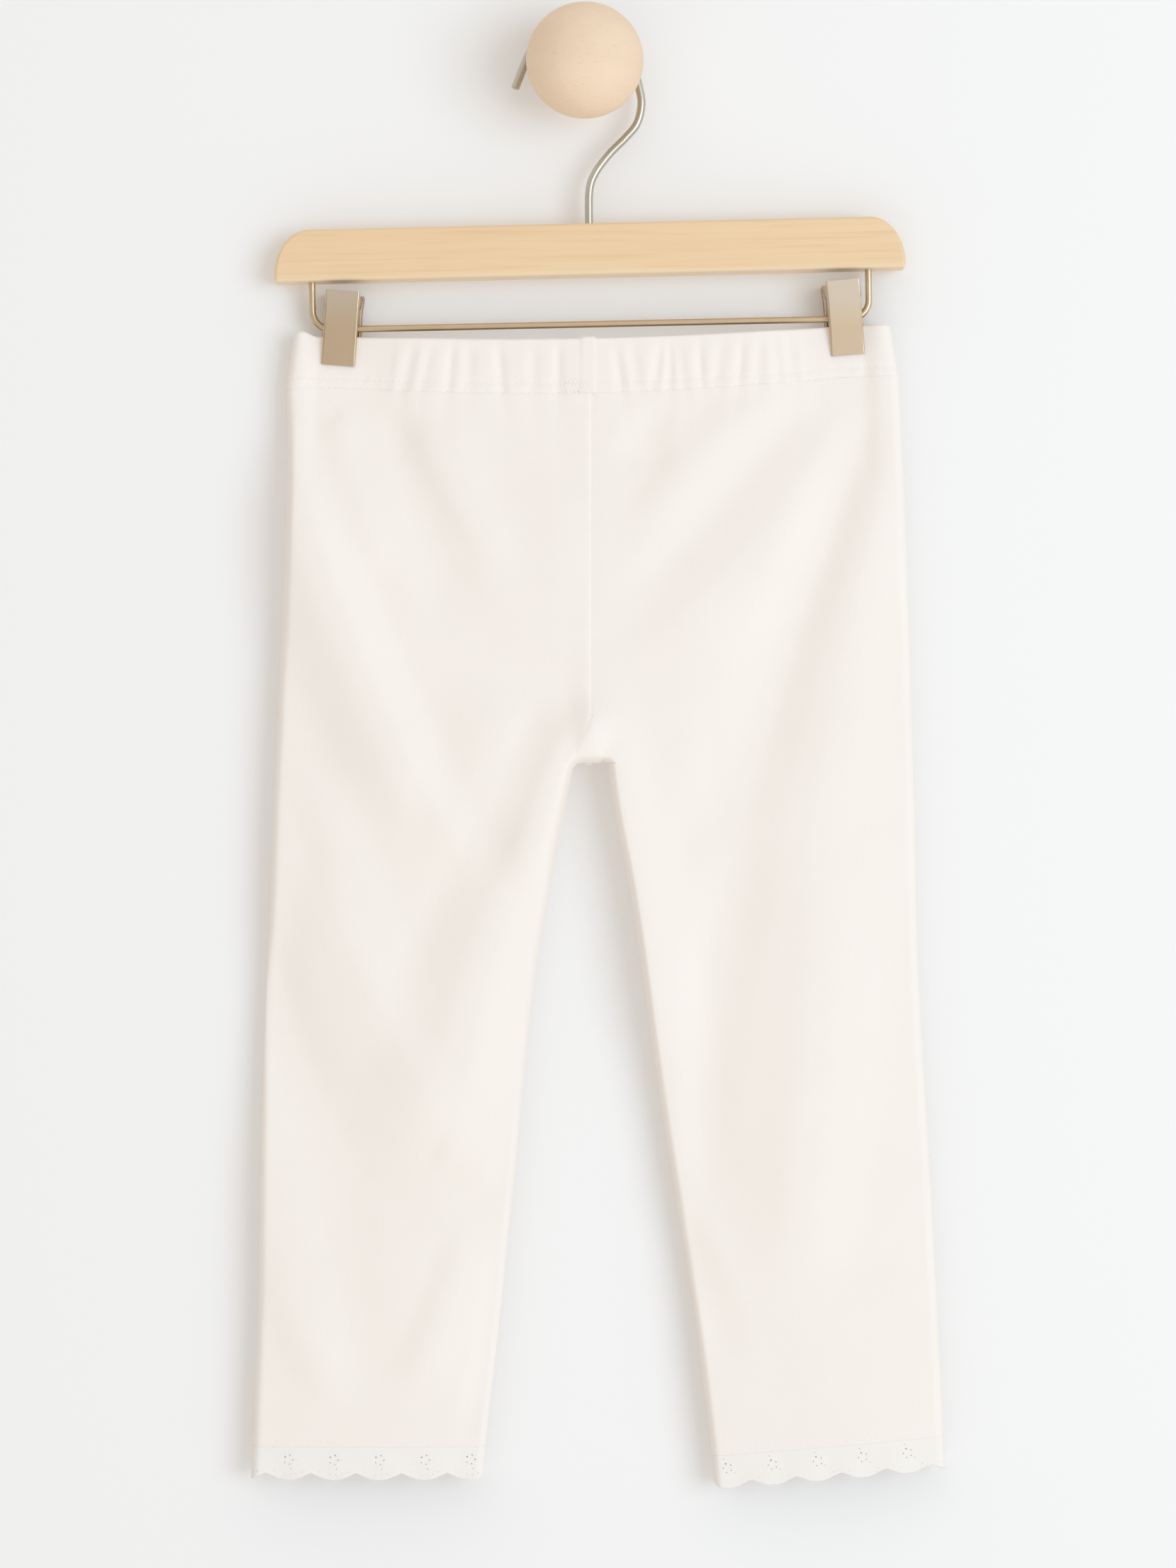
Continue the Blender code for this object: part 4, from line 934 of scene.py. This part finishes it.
# A fold runs from top to foot and bows to the right by its middle. It has a width on its left and on
# its right, which grow by the flare at its top and shrink by it at its foot, and a height, which is
# below 0 for a trough.
Fold = namedtuple("Fold", "x_top z_top x_foot z_foot bow left right height flare", defaults=[0.0])
FRONT_FOLDS = (
    Fold(-0.1510, -0.1475, -0.0505, -0.3985, -0.0100, 0.0400, 0.0260, 0.0088),
    Fold(-0.1190, -0.1495, -0.0925, -0.2500, -0.0050, 0.0160, 0.0175, 0.0024),
    Fold(-0.0720, -0.1500, -0.0350, -0.2435, -0.0050, 0.0155, 0.0225, 0.0018, 0.3),
    Fold(0.0075, -0.2985, -0.0280, -0.3970, -0.0060, 0.0320, 0.0205, 0.0086, -0.1),
    Fold(-0.0165, -0.3500, -0.0710, -0.5255, -0.0070, 0.0420, 0.0380, 0.0075, -0.2),
    Fold(-0.1310, -0.3225, -0.0775, -0.4770, -0.0030, 0.0200, 0.0245, 0.0017, -0.1),
    Fold(-0.1330, -0.3685, -0.0490, -0.5370, -0.0075, 0.0250, 0.0250, 0.0026, -0.3),
    Fold(-0.1540, -0.3920, -0.0810, -0.5640, -0.0160, 0.0415, 0.0305, -0.0049, -0.3),
    Fold(-0.1250, -0.5210, -0.0980, -0.6470, 0.0000, 0.0195, 0.0270, -0.0016, 0.1),
    Fold(-0.1515, -0.5505, -0.1180, -0.6405, -0.0015, 0.0170, 0.0175, 0.0014, 0.1),
    Fold(-0.0525, -0.5455, -0.0840, -0.6330, 0.0010, 0.0160, 0.0205, 0.0021, -0.1),
    Fold(-0.0730, -0.5130, -0.0385, -0.5270, 0.0005, 0.0150, 0.0160, 0.0014),
    Fold(-0.0370, -0.5550, -0.0545, -0.6595, 0.0010, 0.0135, 0.0100, -0.0021, -0.1),
    Fold(0.0905, -0.1410, 0.0185, -0.2245, -0.0005, 0.0185, 0.0185, 0.0019, 0.2),
    Fold(0.1045, -0.1550, 0.0120, -0.2610, 0.0035, 0.0160, 0.0145, -0.0014, -0.1),
    Fold(0.1275, -0.1625, 0.0175, -0.2870, 0.0085, 0.0215, 0.0420, 0.0023, 0.1),
    Fold(0.1405, -0.1550, 0.0585, -0.4125, -0.0055, 0.0325, 0.0205, -0.0038, -0.5),
    Fold(0.1525, -0.1630, 0.1060, -0.4225, -0.0065, 0.0205, 0.0345, 0.0023, -0.6),
    Fold(0.0780, -0.3560, 0.0645, -0.5630, -0.0120, 0.0205, 0.0250, -0.0026, 0.2),
    Fold(0.1145, -0.3510, 0.0945, -0.5980, 0.0045, 0.0390, 0.0420, 0.0047, 0.2),
    Fold(-0.0010, -0.2740, 0.0350, -0.4990, 0.0024, 0.0160, 0.0380, 0.0067),
    Fold(0.0435, -0.5375, 0.0735, -0.6135, -0.0030, 0.0140, 0.0170, -0.0017, -0.1),
    Fold(0.0370, -0.1510, 0.0275, -0.1915, -0.0010, 0.0200, 0.0150, -0.0020, -0.3),
    Fold(-0.0130, -0.1860, -0.0105, -0.2650, 0.0015, 0.0210, 0.0155, 0.0010),
    Fold(-0.0305, -0.2915, -0.0605, -0.3905, -0.0030, 0.0345, 0.0245, 0.0037, 0.2),
    Fold(0.0375, -0.2840, 0.0495, -0.3685, -0.0015, 0.0155, 0.0230, 0.0011, 0.2),
    Fold(-0.0965, -0.1470, -0.0530, -0.2705, -0.0030, 0.0200, 0.0190, -0.0031, -0.3),
    Fold(-0.1210, -0.1560, -0.1185, -0.1660, 0.0000, 0.0040, 0.0040, -0.0009),
)
BACK_FOLDS = (
    Fold(-0.1360, -0.1620, -0.0500, -0.3500, -0.0075, 0.0256, 0.0192, -0.0030),
    Fold(-0.1060, -0.1580, -0.0520, -0.2680, 0.0026, 0.0160, 0.0192, 0.0020),
    Fold(-0.0700, -0.1650, -0.0100, -0.3000, 0.0037, 0.0176, 0.0176, -0.0025),
    Fold(-0.1220, -0.3260, -0.0700, -0.5000, -0.0011, 0.0224, 0.0192, -0.0028),
    Fold(-0.0220, -0.3520, -0.0720, -0.5000, -0.0016, 0.0160, 0.0224, 0.0022),
    Fold(-0.1420, -0.4800, -0.0840, -0.6320, -0.0042, 0.0192, 0.0192, -0.0025),
    Fold(0.1220, -0.1580, 0.0460, -0.3300, 0.0061, 0.0208, 0.0192, -0.0030),
    Fold(0.0880, -0.1560, 0.0200, -0.2620, -0.0015, 0.0160, 0.0192, 0.0020),
    Fold(0.0200, -0.3180, 0.0700, -0.5200, 0.0012, 0.0192, 0.0192, -0.0025),
    Fold(0.1380, -0.2960, 0.1000, -0.5600, 0.0013, 0.0224, 0.0256, -0.0028),
    Fold(0.1460, -0.4700, 0.1100, -0.6400, 0.0069, 0.0192, 0.0192, 0.0018),
    Fold(-0.0460, -0.1580, -0.0330, -0.1960, 0.0010, 0.0080, 0.0096, -0.0011),
    Fold(0.0600, -0.1580, 0.0480, -0.2050, 0.0000, 0.0080, 0.0096, -0.0011),
    Fold(-0.1400, -0.5600, -0.1280, -0.6400, 0.0000, 0.0112, 0.0128, -0.0010),
    Fold(0.0640, -0.5600, 0.0800, -0.6400, 0.0000, 0.0112, 0.0128, -0.0010),
)
Leg = namedtuple("Leg", "name node lace_node side outline hem_slope corner")
LEGS = (
    Leg("left", "left_leg", "left_lace", -1, LEFT_OUTLINE, 0.0, 0.0036),
    Leg("right", "right_leg", "right_lace", 1, RIGHT_OUTLINE, 0.085, 0.0008),
)


def read(table, column, z):
    """A column of a table whose rows run downwards, read at the heights z and slightly smoothed."""
    heights = [-row.z for row in table]
    values = [getattr(row, column) for row in table]
    steps = np.linspace(-TABLE_BLUR, TABLE_BLUR, 9)
    return np.mean([np.interp(-z + step, heights, values) for step in steps], axis=0)


flank = window(TENT_AT, 0, 1, 0.35, 0.45)
TENT = 1 - np.concatenate([[0], np.cumsum(flank[1:] + flank[:-1])]) / np.sum(flank[1:] + flank[:-1])


def fold_height(folds, x, z):
    """Sum of the folds at places on the cloth. Each is a rounded tent with straight flanks."""
    total = 0 * (x + z)
    for fold in folds:
        dx, dz = fold.x_foot - fold.x_top, fold.z_foot - fold.z_top
        length = math.hypot(dx, dz)
        along = ((x - fold.x_top) * dx + (z - fold.z_top) * dz) / length**2
        across = ((x - fold.x_top) * -dz + (z - fold.z_top) * dx) / length
        across = across - fold.bow * 4 * along * (1 - along)
        taper = window(along, 0, 1, FOLD_RISE, FOLD_FALL)
        width = np.where(across < 0, fold.left, fold.right)
        width = width * (1 + fold.flare * (1 - 2 * np.clip(along, 0, 1)))
        total = total + fold.height * taper * np.interp(np.abs(across / width), TENT_AT, TENT)
    return total


def gusset_half(z):
    """Half-width of the gusset at a height, 0 above its point."""
    t = (GUSSET_TOP_Z - z) / (GUSSET_TOP_Z - CROTCH_Z)
    return GUSSET_HALF_WIDTH * np.clip(t, 0.0, 1.0)


def by_part(z, on_body, on_leg):
    """One value above the crotch and another from there down."""
    return np.where(z > CROTCH_Z + 1e-6, on_body, on_leg)


def inner_edge(leg, z):
    """Where the leg's panel ends: at the centre seam, along the gusset, then at the inner leg."""
    body = CENTRE_SEAM_X + leg.side * (gusset_half(z) + CLOSE_GAP / 2)
    return by_part(z, body, read(leg.outline, "inner", z))


def inner_corner(leg, z):
    """How far the fold of the inner leg reaches past its line, where it rounds into the crotch."""
    near = np.clip((CROTCH_Z - z) / leg.corner, 0.0, 1.0)
    return by_part(z, 0.0, leg.side * leg.corner * (1 - np.sqrt(1 - (1 - near) ** 2)))


opening_z = CROTCH_Z - np.concatenate([
    np.array((0.0, 0.0001, 0.0003, 0.0006, 0.0010, 0.0015, 0.0021, 0.0028, 0.0036, 0.0060, 0.0100)),
    np.arange(0.016, 0.36, 0.012),
])
left_line, right_line = [
    [(float(inner_edge(leg, z) - inner_corner(leg, z)), z) for z in opening_z] for leg in LEGS
]
OPENING = np.array(left_line[::-1] + right_line)


def edge_round(x, z, most=1.0):
    """0 at the outline of the opening between the legs, rounding up to 1 a fold's radius from it."""
    nearest = np.minimum(most, 1.0) + 0 * (x + z)
    for (ax, az), (bx, bz) in zip(OPENING, OPENING[1:]):
        dx, dz = bx - ax, bz - az
        part = np.clip(((x - ax) * dx + (z - az) * dz) / (dx * dx + dz * dz), 0.0, 1.0)
        nearest = np.minimum(nearest, np.hypot(x - ax - part * dx, z - az - part * dz))
    return np.sqrt(1 - (1 - np.clip(nearest / INNER_FOLD_RADIUS, 0.0, 1.0)) ** 2)


def half_depth(x, z, share):
    """Outer half-depth of the cloth, taken from the waistband's at the top into the hanging form."""
    body = ease((z - CROTCH_Z) / BODY_FADE)
    lens = FLAT_EDGE + (1 - FLAT_EDGE) * (body * (1 - share**2) + (1 - body) * 4 * share * (1 - share))
    hanging = read(DEPTHS, "half", z) * lens
    below = BAND_SEAM_Z - z
    waist = band_opening(x) + BAND_WALL / 2 - WAIST_STEP * (1 - ease(below / WAIST_STEP_RUN))
    fade = ease(below / WAIST_FADE)
    return waist * (1 - fade) + hanging * fade


def seam_relief(leg, edge, z):
    """The allowance is pressed to the left and lifts that side, which steps down at the seam."""
    body = ease((z - SEAM_FOOT_Z) / SEAM_FOOT_RUN)
    pull = SEAM_PULL * np.sin(z * 480) * np.sin(z * 173 + 1) * np.exp(-edge / SEAM_PULL_WIDTH)
    sunk = SEAM_GROOVE * hump(edge, SEAM_GROOVE_WIDTH)
    if leg.side > 0:
        return body * (pull - sunk)
    lifted = SEAM_LIFT * ease((SEAM_LIFT_WIDTH - edge) / SEAM_LIFT_RUN) * (1 - hump(edge, SEAM_LIP))
    return body * (lifted - sunk * hump(edge, 0.001) + pull)


def cloth_depth(leg, face, x, z, share, edge):
    """How far the cloth stands off the middle at places on it, with its folds, gathers and seam."""
    below = BAND_SEAM_Z - z
    folds = fold_height(FRONT_FOLDS if face < 0 else BACK_FOLDS, x, z) * ease(below / FOLD_START)
    folds = folds + gathers(x, face, -below) * (1 - 0.6 * tab(x, face))
    return half_depth(x, z, share) + folds + seam_relief(leg, edge, z)


def crumple(points):
    """Slight unevenness of hanging cloth, some of it broad and some fine."""
    return sum(roughen(points, scale, amount) for scale, amount in CRUMPLES)


def panel(leg, face, z, share, inner_turn, outer_turn):
    """Points of the outer surface, face -1 on the front and 1 on the back: rows z, columns the rest."""
    inner, corner = inner_edge(leg, z), inner_corner(leg, z)
    inner_radius, outer_radius = leg.side * INNER_FOLD_RADIUS, leg.side * SIDE_FOLD_RADIUS
    start = inner + inner_radius
    end = read(leg.outline, "outer", z) - outer_radius
    x = start + (end - start) * share
    x = x - (inner_radius + corner) * np.cos(inner_turn) + outer_radius * np.cos(outer_turn)
    leg_start = read(leg.outline, "inner", z) + inner_radius
    spot = np.clip((x - leg_start) / (end - leg_start), 0.0, 1.0)
    most = by_part(z, 1.0, np.abs(x - inner + corner))
    close = edge_round(x, z, most) * np.sin(outer_turn)
    below = BAND_SEAM_Z - z
    depth = cloth_depth(leg, face, x, z, spot, np.abs(x - inner))
    depth = (depth - HEM_SINK * hump(z - HEM_Z - HEM_ROW, HEM_SINK_WIDTH)) * close
    hem_middle = (read(leg.outline, "inner", HEM_Z) + read(leg.outline, "outer", HEM_Z)) / 2
    seam_part = ease(1 - below / SEAM_FADE)
    hem_part = ease(1 - (z - HEM_Z) / HEM_FADE)
    height = z + band_slant(x) * seam_part + leg.hem_slope * (x - hem_middle) * hem_part
    points = np.stack([x, read(DEPTHS, "middle", z) + face * depth, height + 0 * x], -1)
    points[..., 1] += face * crumple(points) * ease(below / FOLD_START) * np.abs(np.sin(outer_turn))
    return points


def leg_columns():
    """Share across, inner turn and outer turn of a panel's columns, from its inner edge outwards."""
    turn = np.linspace(0, math.pi / 2, TURN_STEPS)
    flat = np.linspace(0, 1, PANEL_STEPS + 1)[1:-1]
    square = np.full(len(flat), math.pi / 2)
    share = np.concatenate([0 * turn, flat, 1 + 0 * turn])
    inner_turn = np.concatenate([turn, square, 0 * turn + math.pi / 2])
    outer_turn = np.concatenate([0 * turn + math.pi / 2, square, turn[::-1]])
    return share[None], inner_turn[None], outer_turn[None]


def leg_ring(leg, z):
    """The leg's outer surface at the heights z, round from its inner edge's front to its back."""
    columns = leg_columns()
    front = panel(leg, -1, z, *columns)
    back = panel(leg, 1, z, *columns)
    back[:, -1] = front[:, -1]
    return np.concatenate([front, back[:, -2::-1]], axis=1)


# The rows lie closer at the waist's seam, beside the gusset, round the crotch and at the hem.
rounding = np.sin(np.radians(np.linspace(0, 90, 9)))
heights = np.concatenate([
    BAND_SEAM_Z - np.array((0.0, 0.00003, 0.0003, 0.0006, 0.0010)),
    np.arange(BAND_SEAM_Z - 0.0016, -0.172, -0.0011),
    np.arange(-0.172, GUSSET_TOP_Z + 0.0005, -0.0022),
    np.arange(GUSSET_TOP_Z, CROTCH_Z + INNER_FOLD_RADIUS, -0.0013),
    CROTCH_Z + INNER_FOLD_RADIUS * (1 - rounding),
    CROTCH_Z - np.array((0.0003, 0.0008, 0.0014, 0.0022, 0.0032, 0.0044, 0.006, 0.008, 0.010)),
    np.linspace(CROTCH_Z - 0.012, HEM_Z + 0.006, 142),
    np.arange(HEM_Z + 0.005, HEM_Z, -0.0008),
    [HEM_Z],
])[:, None]
closed = heights[:, 0] < CROTCH_Z + 1e-6
for leg in LEGS:
    grid = leg_ring(leg, heights)
    grid[closed, -1] = grid[closed, 0]
    across = run_lengths(grid)
    across = across - across[:, [across.shape[1] // 2]]
    down = heights + 0 * across
    if leg.side < 0:
        grid, across = grid[:, ::-1], across[:, ::-1]
    made = cloth(leg.name + "_leg_panel", grid, across, down, JERSEY_THICKNESS, jersey)
    settle(made, "white_jersey", leg.node)


# Gusset: a small diamond of the same jersey, folded under the crotch, with a panel's edge sewn along
# each of its four sides. A small notch shows at its lower right, beside the right leg's corner.
NOTCH_X = 0.0089
NOTCH_REACH = 0.0012
NOTCH_LIFT = 0.0010
NOTCH_END_X = 0.0104
NOTCH_END_RUN = 0.0010
NOTCH_RISE = 0.004

rise = heights[(heights < GUSSET_TOP_Z + 1e-6) & (heights > CROTCH_Z + 1e-6)]
rise = np.append(rise, CROTCH_Z)
path = [(-1, z) for z in rise] + [(0, CROTCH_Z)] + [(1, z) for z in rise[::-1]]
shares = np.concatenate([[-1.0, -0.985], np.linspace(-0.92, 0.92, 15), [0.985, 1.0]])
grid = []
for face, z in path:
    half = float(gusset_half(z))
    x = CENTRE_SEAM_X + half * shares
    deep = cloth_depth(LEGS[1], face or -1, x, np.array(z), 0.0, (1 - np.abs(shares)) * half)
    y = float(read(DEPTHS, "middle", np.array(z))) + face * deep * edge_round(x, z)
    notch = NOTCH_LIFT * hump(x - NOTCH_X, NOTCH_REACH) * ease((NOTCH_END_X - x) / NOTCH_END_RUN)
    notch = notch * (1 - ease((z - CROTCH_Z) / NOTCH_RISE))
    row = np.stack([x, y, z + notch], -1)
    row[:, 1] += face * crumple(row)
    grid.append(row)
grid = np.array(grid)
across = run_lengths(grid)
down = np.cumsum([0.0] + [abs(b[1] - a[1]) for a, b in zip(path, path[1:])])
gusset = cloth(
    "crotch_gusset_diamond", grid, across, down[:, None] + 0 * across, JERSEY_THICKNESS, jersey
)
settle(gusset, "white_jersey", "crotch_gusset")


# Lace: a narrow cotton edging sewn behind each hem, with a flower of eyelets in each scallop and a
# picot edge. Both ends meet at the inner leg.
LACE_HEIGHT = 0.0160
LACE_OVERLAP = 0.0010
LACE_TUCK = 0.08
LACE_SCALLOPS = 11
LACE_SCALLOP_DEPTH = 0.0032
LACE_THICKNESS = 0.0005
LACE_CELL = 0.00037
FLOWER_DROP = 0.0068
PETALS = 5
PETAL_REACH = 0.0021
EYELET_RADIUS = 0.00036
EDGE_HOLE_RADIUS = 0.00027
PICOT_PITCH = 0.0014
PICOT_SIZE = 0.00045
LACE_RELIEF = 0.00013
LACE_WAVE = 0.00035
LACE_TWILL = 0.0009
PETAL_RING = 0.0028
PETAL_WIDTH = 0.0016
HOLE_RIM = 0.0003
CORD_INSET = 0.0012
EDGE_CORD = 0.0006
TOP_CORD = 0.0007
EDGE_HOLES = 8
EDGE_HOLE_INSET = 0.0026
LACE_TONES = ((0.868, 0.838, 0.800), (0.892, 0.866, 0.832))

lace_cotton, place, shader = finish("cotton_lace", "UV", Specular_IOR_Level=0.15, Sheen_Weight=0.10)
across, down = measure(place, "X"), measure(place, "Y")
twill = ribs(across + down, LACE_TWILL) * ribs(across - down, LACE_TWILL)
fuzz = speckle(place, 1100, 3, 0.7)
tone = speckle(place, 60, 2).blend(*LACE_TONES)
feed(shader, tone, twill + fuzz, 0.3, 0.00008, Roughness=0.86 + fuzz * 0.10)


def scallop(local, width):
    """How far down the scalloped edge lies, at a distance from the middle of a scallop."""
    return LACE_HEIGHT - LACE_SCALLOP_DEPTH * (1 - np.cos(math.pi * local / width))


def lace_field(across, down, width):
    """Below 0 outside the lace or in its holes, and how far its threads stand up, at places on it."""
    local = across - (np.floor(across / width) + 0.5) * width
    low = down - FLOWER_DROP
    inset = scallop(local, width) - down
    solid = inset - PICOT_SIZE + PICOT_SIZE * np.abs(np.sin(math.pi * local / PICOT_PITCH))
    relief = 0 * solid
    for k in range(PETALS):
        turn = 2 * math.pi * (k + 0.5) / PETALS
        for reach, size in ((PETAL_REACH, EYELET_RADIUS), (2 * PETAL_REACH, EDGE_HOLE_RADIUS)):
            hole = np.hypot(local - reach * np.cos(turn), low - reach * np.sin(turn)) - size
            solid = np.minimum(solid, hole)
            relief = np.maximum(relief, hump(hole, HOLE_RIM))
    petal = hump(np.hypot(local, low) - PETAL_RING, PETAL_WIDTH)
    petal = petal * np.abs(np.cos(np.arctan2(low, local) * PETALS / 2)) ** 1.5
    for k in range(-3, 4):
        along = (k + 0.5) * width / EDGE_HOLES
        deep = scallop(along, width) - EDGE_HOLE_INSET
        solid = np.minimum(solid, np.hypot(local - along, down - deep) - EDGE_HOLE_RADIUS)
    edge_cord, top_cord = hump(inset - CORD_INSET, EDGE_CORD), 0.8 * hump(down - CORD_INSET, TOP_CORD)
    for cord in (petal, edge_cord, top_cord):
        relief = np.maximum(relief, cord)
    return solid, relief


def points_at(distances, line, lengths):
    """Points at some distances along a line of points whose lengths so far are known."""
    return np.stack([np.interp(distances, lengths, line[:, i]) for i in range(3)], -1)


def lace_ring(leg):
    """A fine grid on the lace, its holes and scallops cut along smooth lines."""
    rings = []
    for z in (HEM_Z + LACE_OVERLAP, HEM_Z - LACE_HEIGHT):
        ring = leg_ring(leg, np.array([[z]]))[0]
        ring = np.concatenate([ring[:-1], ring[:1]])
        rings.append((ring, run_lengths(ring[None])[0]))
    length = rings[0][1][-1]
    columns = int(round(length / LACE_CELL / LACE_SCALLOPS)) * LACE_SCALLOPS
    rows = int(round(LACE_HEIGHT / LACE_CELL))
    shares = np.linspace(0, 1, columns + 1)
    lines = [points_at(shares * lengths[-1], ring, lengths) for ring, lengths in rings]
    across = np.broadcast_to(shares * length, (rows + 1, columns + 1)).copy()
    down = np.broadcast_to(np.linspace(0, LACE_HEIGHT, rows + 1)[:, None], across.shape).copy()
    width = length / LACE_SCALLOPS
    step = 0.2 * LACE_CELL
    most = 0.45 * LACE_CELL
    for _ in range(2):
        solid = lace_field(across, down, width)[0]
        slope_x = (lace_field(across + step, down, width)[0] - solid) / step
        slope_z = (lace_field(across, down + step, width)[0] - solid) / step
        steep = np.maximum(slope_x**2 + slope_z**2, 0.2)
        near = np.abs(solid) < 0.5 * LACE_CELL
        inside = np.zeros_like(near)
        inside[1:, 1:-1] = True
        shift = np.where(near & inside, -solid / steep, 0.0)
        across += np.clip(shift * slope_x, -most, most)
        down += np.clip(shift * slope_z, -most, most)
    solid, relief = lace_field(across, down, width)
    share = down / LACE_HEIGHT
    where = np.interp(across / length, shares, np.arange(columns + 1))
    first = np.clip(np.floor(where).astype(int), 0, columns - 1)
    part = (where - first)[..., None]
    edges = [line[first] * (1 - part) + line[first + 1] * part for line in lines]
    grid = edges[0] * (1 - share[..., None]) + edges[1] * share[..., None]
    along = np.roll(lines[0], -3, axis=0) - np.roll(lines[0], 3, axis=0)
    out = np.stack([along[:, 1], -along[:, 0], 0 * along[:, 0]], -1)
    out /= np.maximum(np.linalg.norm(out, axis=-1, keepdims=True), 1e-9)
    if leg.side < 0:
        out = -out
    wave = LACE_WAVE * np.sin(2 * math.pi * across / width) * share
    inward = -JERSEY_THICKNESS * (1 - ease(share / LACE_TUCK))
    grid += out[first] * (LACE_RELIEF * relief + wave + inward)[..., None]
    grid[:, -1] = grid[:, 0]
    return grid, across, down, solid


for leg in LEGS:
    grid, across, down, solid = lace_ring(leg)
    centre = (solid[:-1, :-1] + solid[1:, :-1] + solid[1:, 1:] + solid[:-1, 1:]) / 4
    keep = centre > 0
    if leg.side < 0:
        grid, across, down, keep = grid[:, ::-1], across[:, ::-1], down[:, ::-1], keep[:, ::-1]
    made = cloth(leg.name + "_lace_edging", grid, across, -down, 0, lace_cotton)
    form = bmesh.new()
    form.from_mesh(made.data)
    form.faces.ensure_lookup_table()
    gone = [form.faces[i] for i in np.flatnonzero(~keep.ravel())]
    bmesh.ops.delete(form, geom=gone, context="FACES")
    loose = [point for point in form.verts if not point.link_faces]
    bmesh.ops.delete(form, geom=loose, context="VERTS")
    form.to_mesh(made.data)
    form.free()
    apply_modifier(made, "SOLIDIFY", thickness=LACE_THICKNESS, offset=-1)
    settle(made, "cotton_lace", leg.lace_node)


# Stitching: two rows of white thread along the waistband's seam, with a dense back-tack left of the
# middle, and one row round each hem. Every stitch is a short hump of thread that dives at its ends.
STITCH_PITCH = 0.0030
STITCH_LENGTH = 0.0024
THREAD_RADIUS = 0.00016
STITCH_SIDES = 6
Station = namedtuple("Station", "along size lift")
STITCH_STATIONS = (
    Station(-1.0, 0.3, -0.9),
    Station(-0.72, 0.9, 0.25),
    Station(0.0, 1.0, 0.75),
    Station(0.72, 0.9, 0.25),
    Station(1.0, 0.3, -0.9),
)
TACK_LEFT = -0.0101
TACK_RIGHT = -0.0014
TACK_PITCH = 0.0017
TACK_LENGTH = 0.0010
TACK_LIFTS = (-0.0013, -0.0005, 0.0004, 0.0013, 0.0021)
THREAD_TONES = ((0.900, 0.870, 0.835), (0.950, 0.930, 0.905))
# Back-tack thread: a bluish grey whose darkness is painted shade, standing in for the shadows among its dense,
# overlapping stitches.
TACK_TONES_WITH_PAINTED_SHADE = ((0.630, 0.640, 0.655), (0.830, 0.820, 0.810))


def thread_finish(name, tones, **fixed):
    """Matt twisted thread."""
    made, place, shader = finish(name, **fixed)
    twist = speckle(place, 2600, 2)
    feed(shader, twist.blend(*tones), twist, 0.5, 0.00006, Roughness=0.80 + twist * 0.12)
    return made


thread = thread_finish("sewing_thread", THREAD_TONES, Specular_IOR_Level=0.2, Sheen_Weight=0.10)
tack_thread_with_painted_shade = thread_finish("tack_thread_with_painted_shade", TACK_TONES_WITH_PAINTED_SHADE, Specular_IOR_Level=0.15)


def add_stitch(points, faces, start, end, out):
    """One stitch from start to end, standing up along out."""
    middle, reach = (start + end) / 2, (end - start) / 2
    side = np.cross(reach, out)
    side /= np.linalg.norm(side)
    first = len(points)
    for along, size, lift in STITCH_STATIONS:
        for k in range(STITCH_SIDES):
            turn = 2 * math.pi * k / STITCH_SIDES
            off = THREAD_RADIUS * (size * (math.cos(turn) * side + math.sin(turn) * out) + lift * out)
            points.append(middle + along * reach + off)
    for ring in range(len(STITCH_STATIONS) - 1):
        for k in range(STITCH_SIDES):
            a = first + ring * STITCH_SIDES + k
            b = first + ring * STITCH_SIDES + (k + 1) % STITCH_SIDES
            faces.append((a, b, b + STITCH_SIDES, a + STITCH_SIDES))
    last = first + (len(STITCH_STATIONS) - 1) * STITCH_SIDES
    faces.append(tuple(first + k for k in reversed(range(STITCH_SIDES))))
    faces.append(tuple(last + k for k in range(STITCH_SIDES)))


def sew(
    points, faces, line, pitch=STITCH_PITCH, length=STITCH_LENGTH, between=None, shift=0.0, lift=0.0,
):
    """Stitches along a closed line of points that runs anticlockwise as seen from above, or only
    those between two places on its front. The shift is in stitches, the lift in metres."""
    line = np.concatenate([line, line[:1]])
    lengths = run_lengths(line[None])[0]
    count = int(lengths[-1] / pitch)
    centres = (np.arange(count) + 0.5 + shift) * lengths[-1] / count % lengths[-1]
    for centre in centres:
        marks = centre + np.array((-0.5, 0.0, 0.5)) * length
        begin, middle, end = points_at(marks % lengths[-1], line, lengths)
        if between and not (between[0] < middle[0] < between[1] and middle[1] < HANGER_Y):
            continue
        way = end - begin
        out = np.array((way[1], -way[0], 0.0))
        out /= np.linalg.norm(out)
        rise = np.array((0, 0, lift)) + out * (np.dot(middle - (begin + end) / 2, out) * 0.5)
        add_stitch(points, faces, begin + rise, end + rise, out)


def thread_piece(name, points, faces, material):
    """All stitches of one kind as one piece."""
    mesh = bpy.data.meshes.new(name)
    mesh.from_pydata([tuple(p) for p in points], [], faces)
    mesh.materials.append(material)
    piece = add_piece(name, mesh)
    bpy.ops.object.mode_set(mode="EDIT")
    close_up()
    bpy.ops.object.shade_smooth()
    settle(piece, "white_jersey")


points, faces = [], []
tack_points, tack_faces = [], []
for row in STITCH_ROWS:
    line = band_grid[int(np.argmin([abs(rise - row) for rise in near_seam]))][:-1]
    sew(points, faces, line)
    for k, lift in enumerate(TACK_LIFTS):
        sew(
            tack_points, tack_faces, line, TACK_PITCH + 0.0001 * k, TACK_LENGTH,
            (TACK_LEFT, TACK_RIGHT), 0.37 * k, lift,
        )
thread_piece("waist_stitching", points, faces, thread)
thread_piece("back_tack", tack_points, tack_faces, tack_thread_with_painted_shade)

for leg in LEGS:
    points, faces = [], []
    line = leg_ring(leg, np.array([[HEM_Z + HEM_ROW]]))[0][:-1]
    sew(points, faces, line if leg.side > 0 else line[::-1])
    thread_piece(leg.name + "_hem_stitching", points, faces, thread)
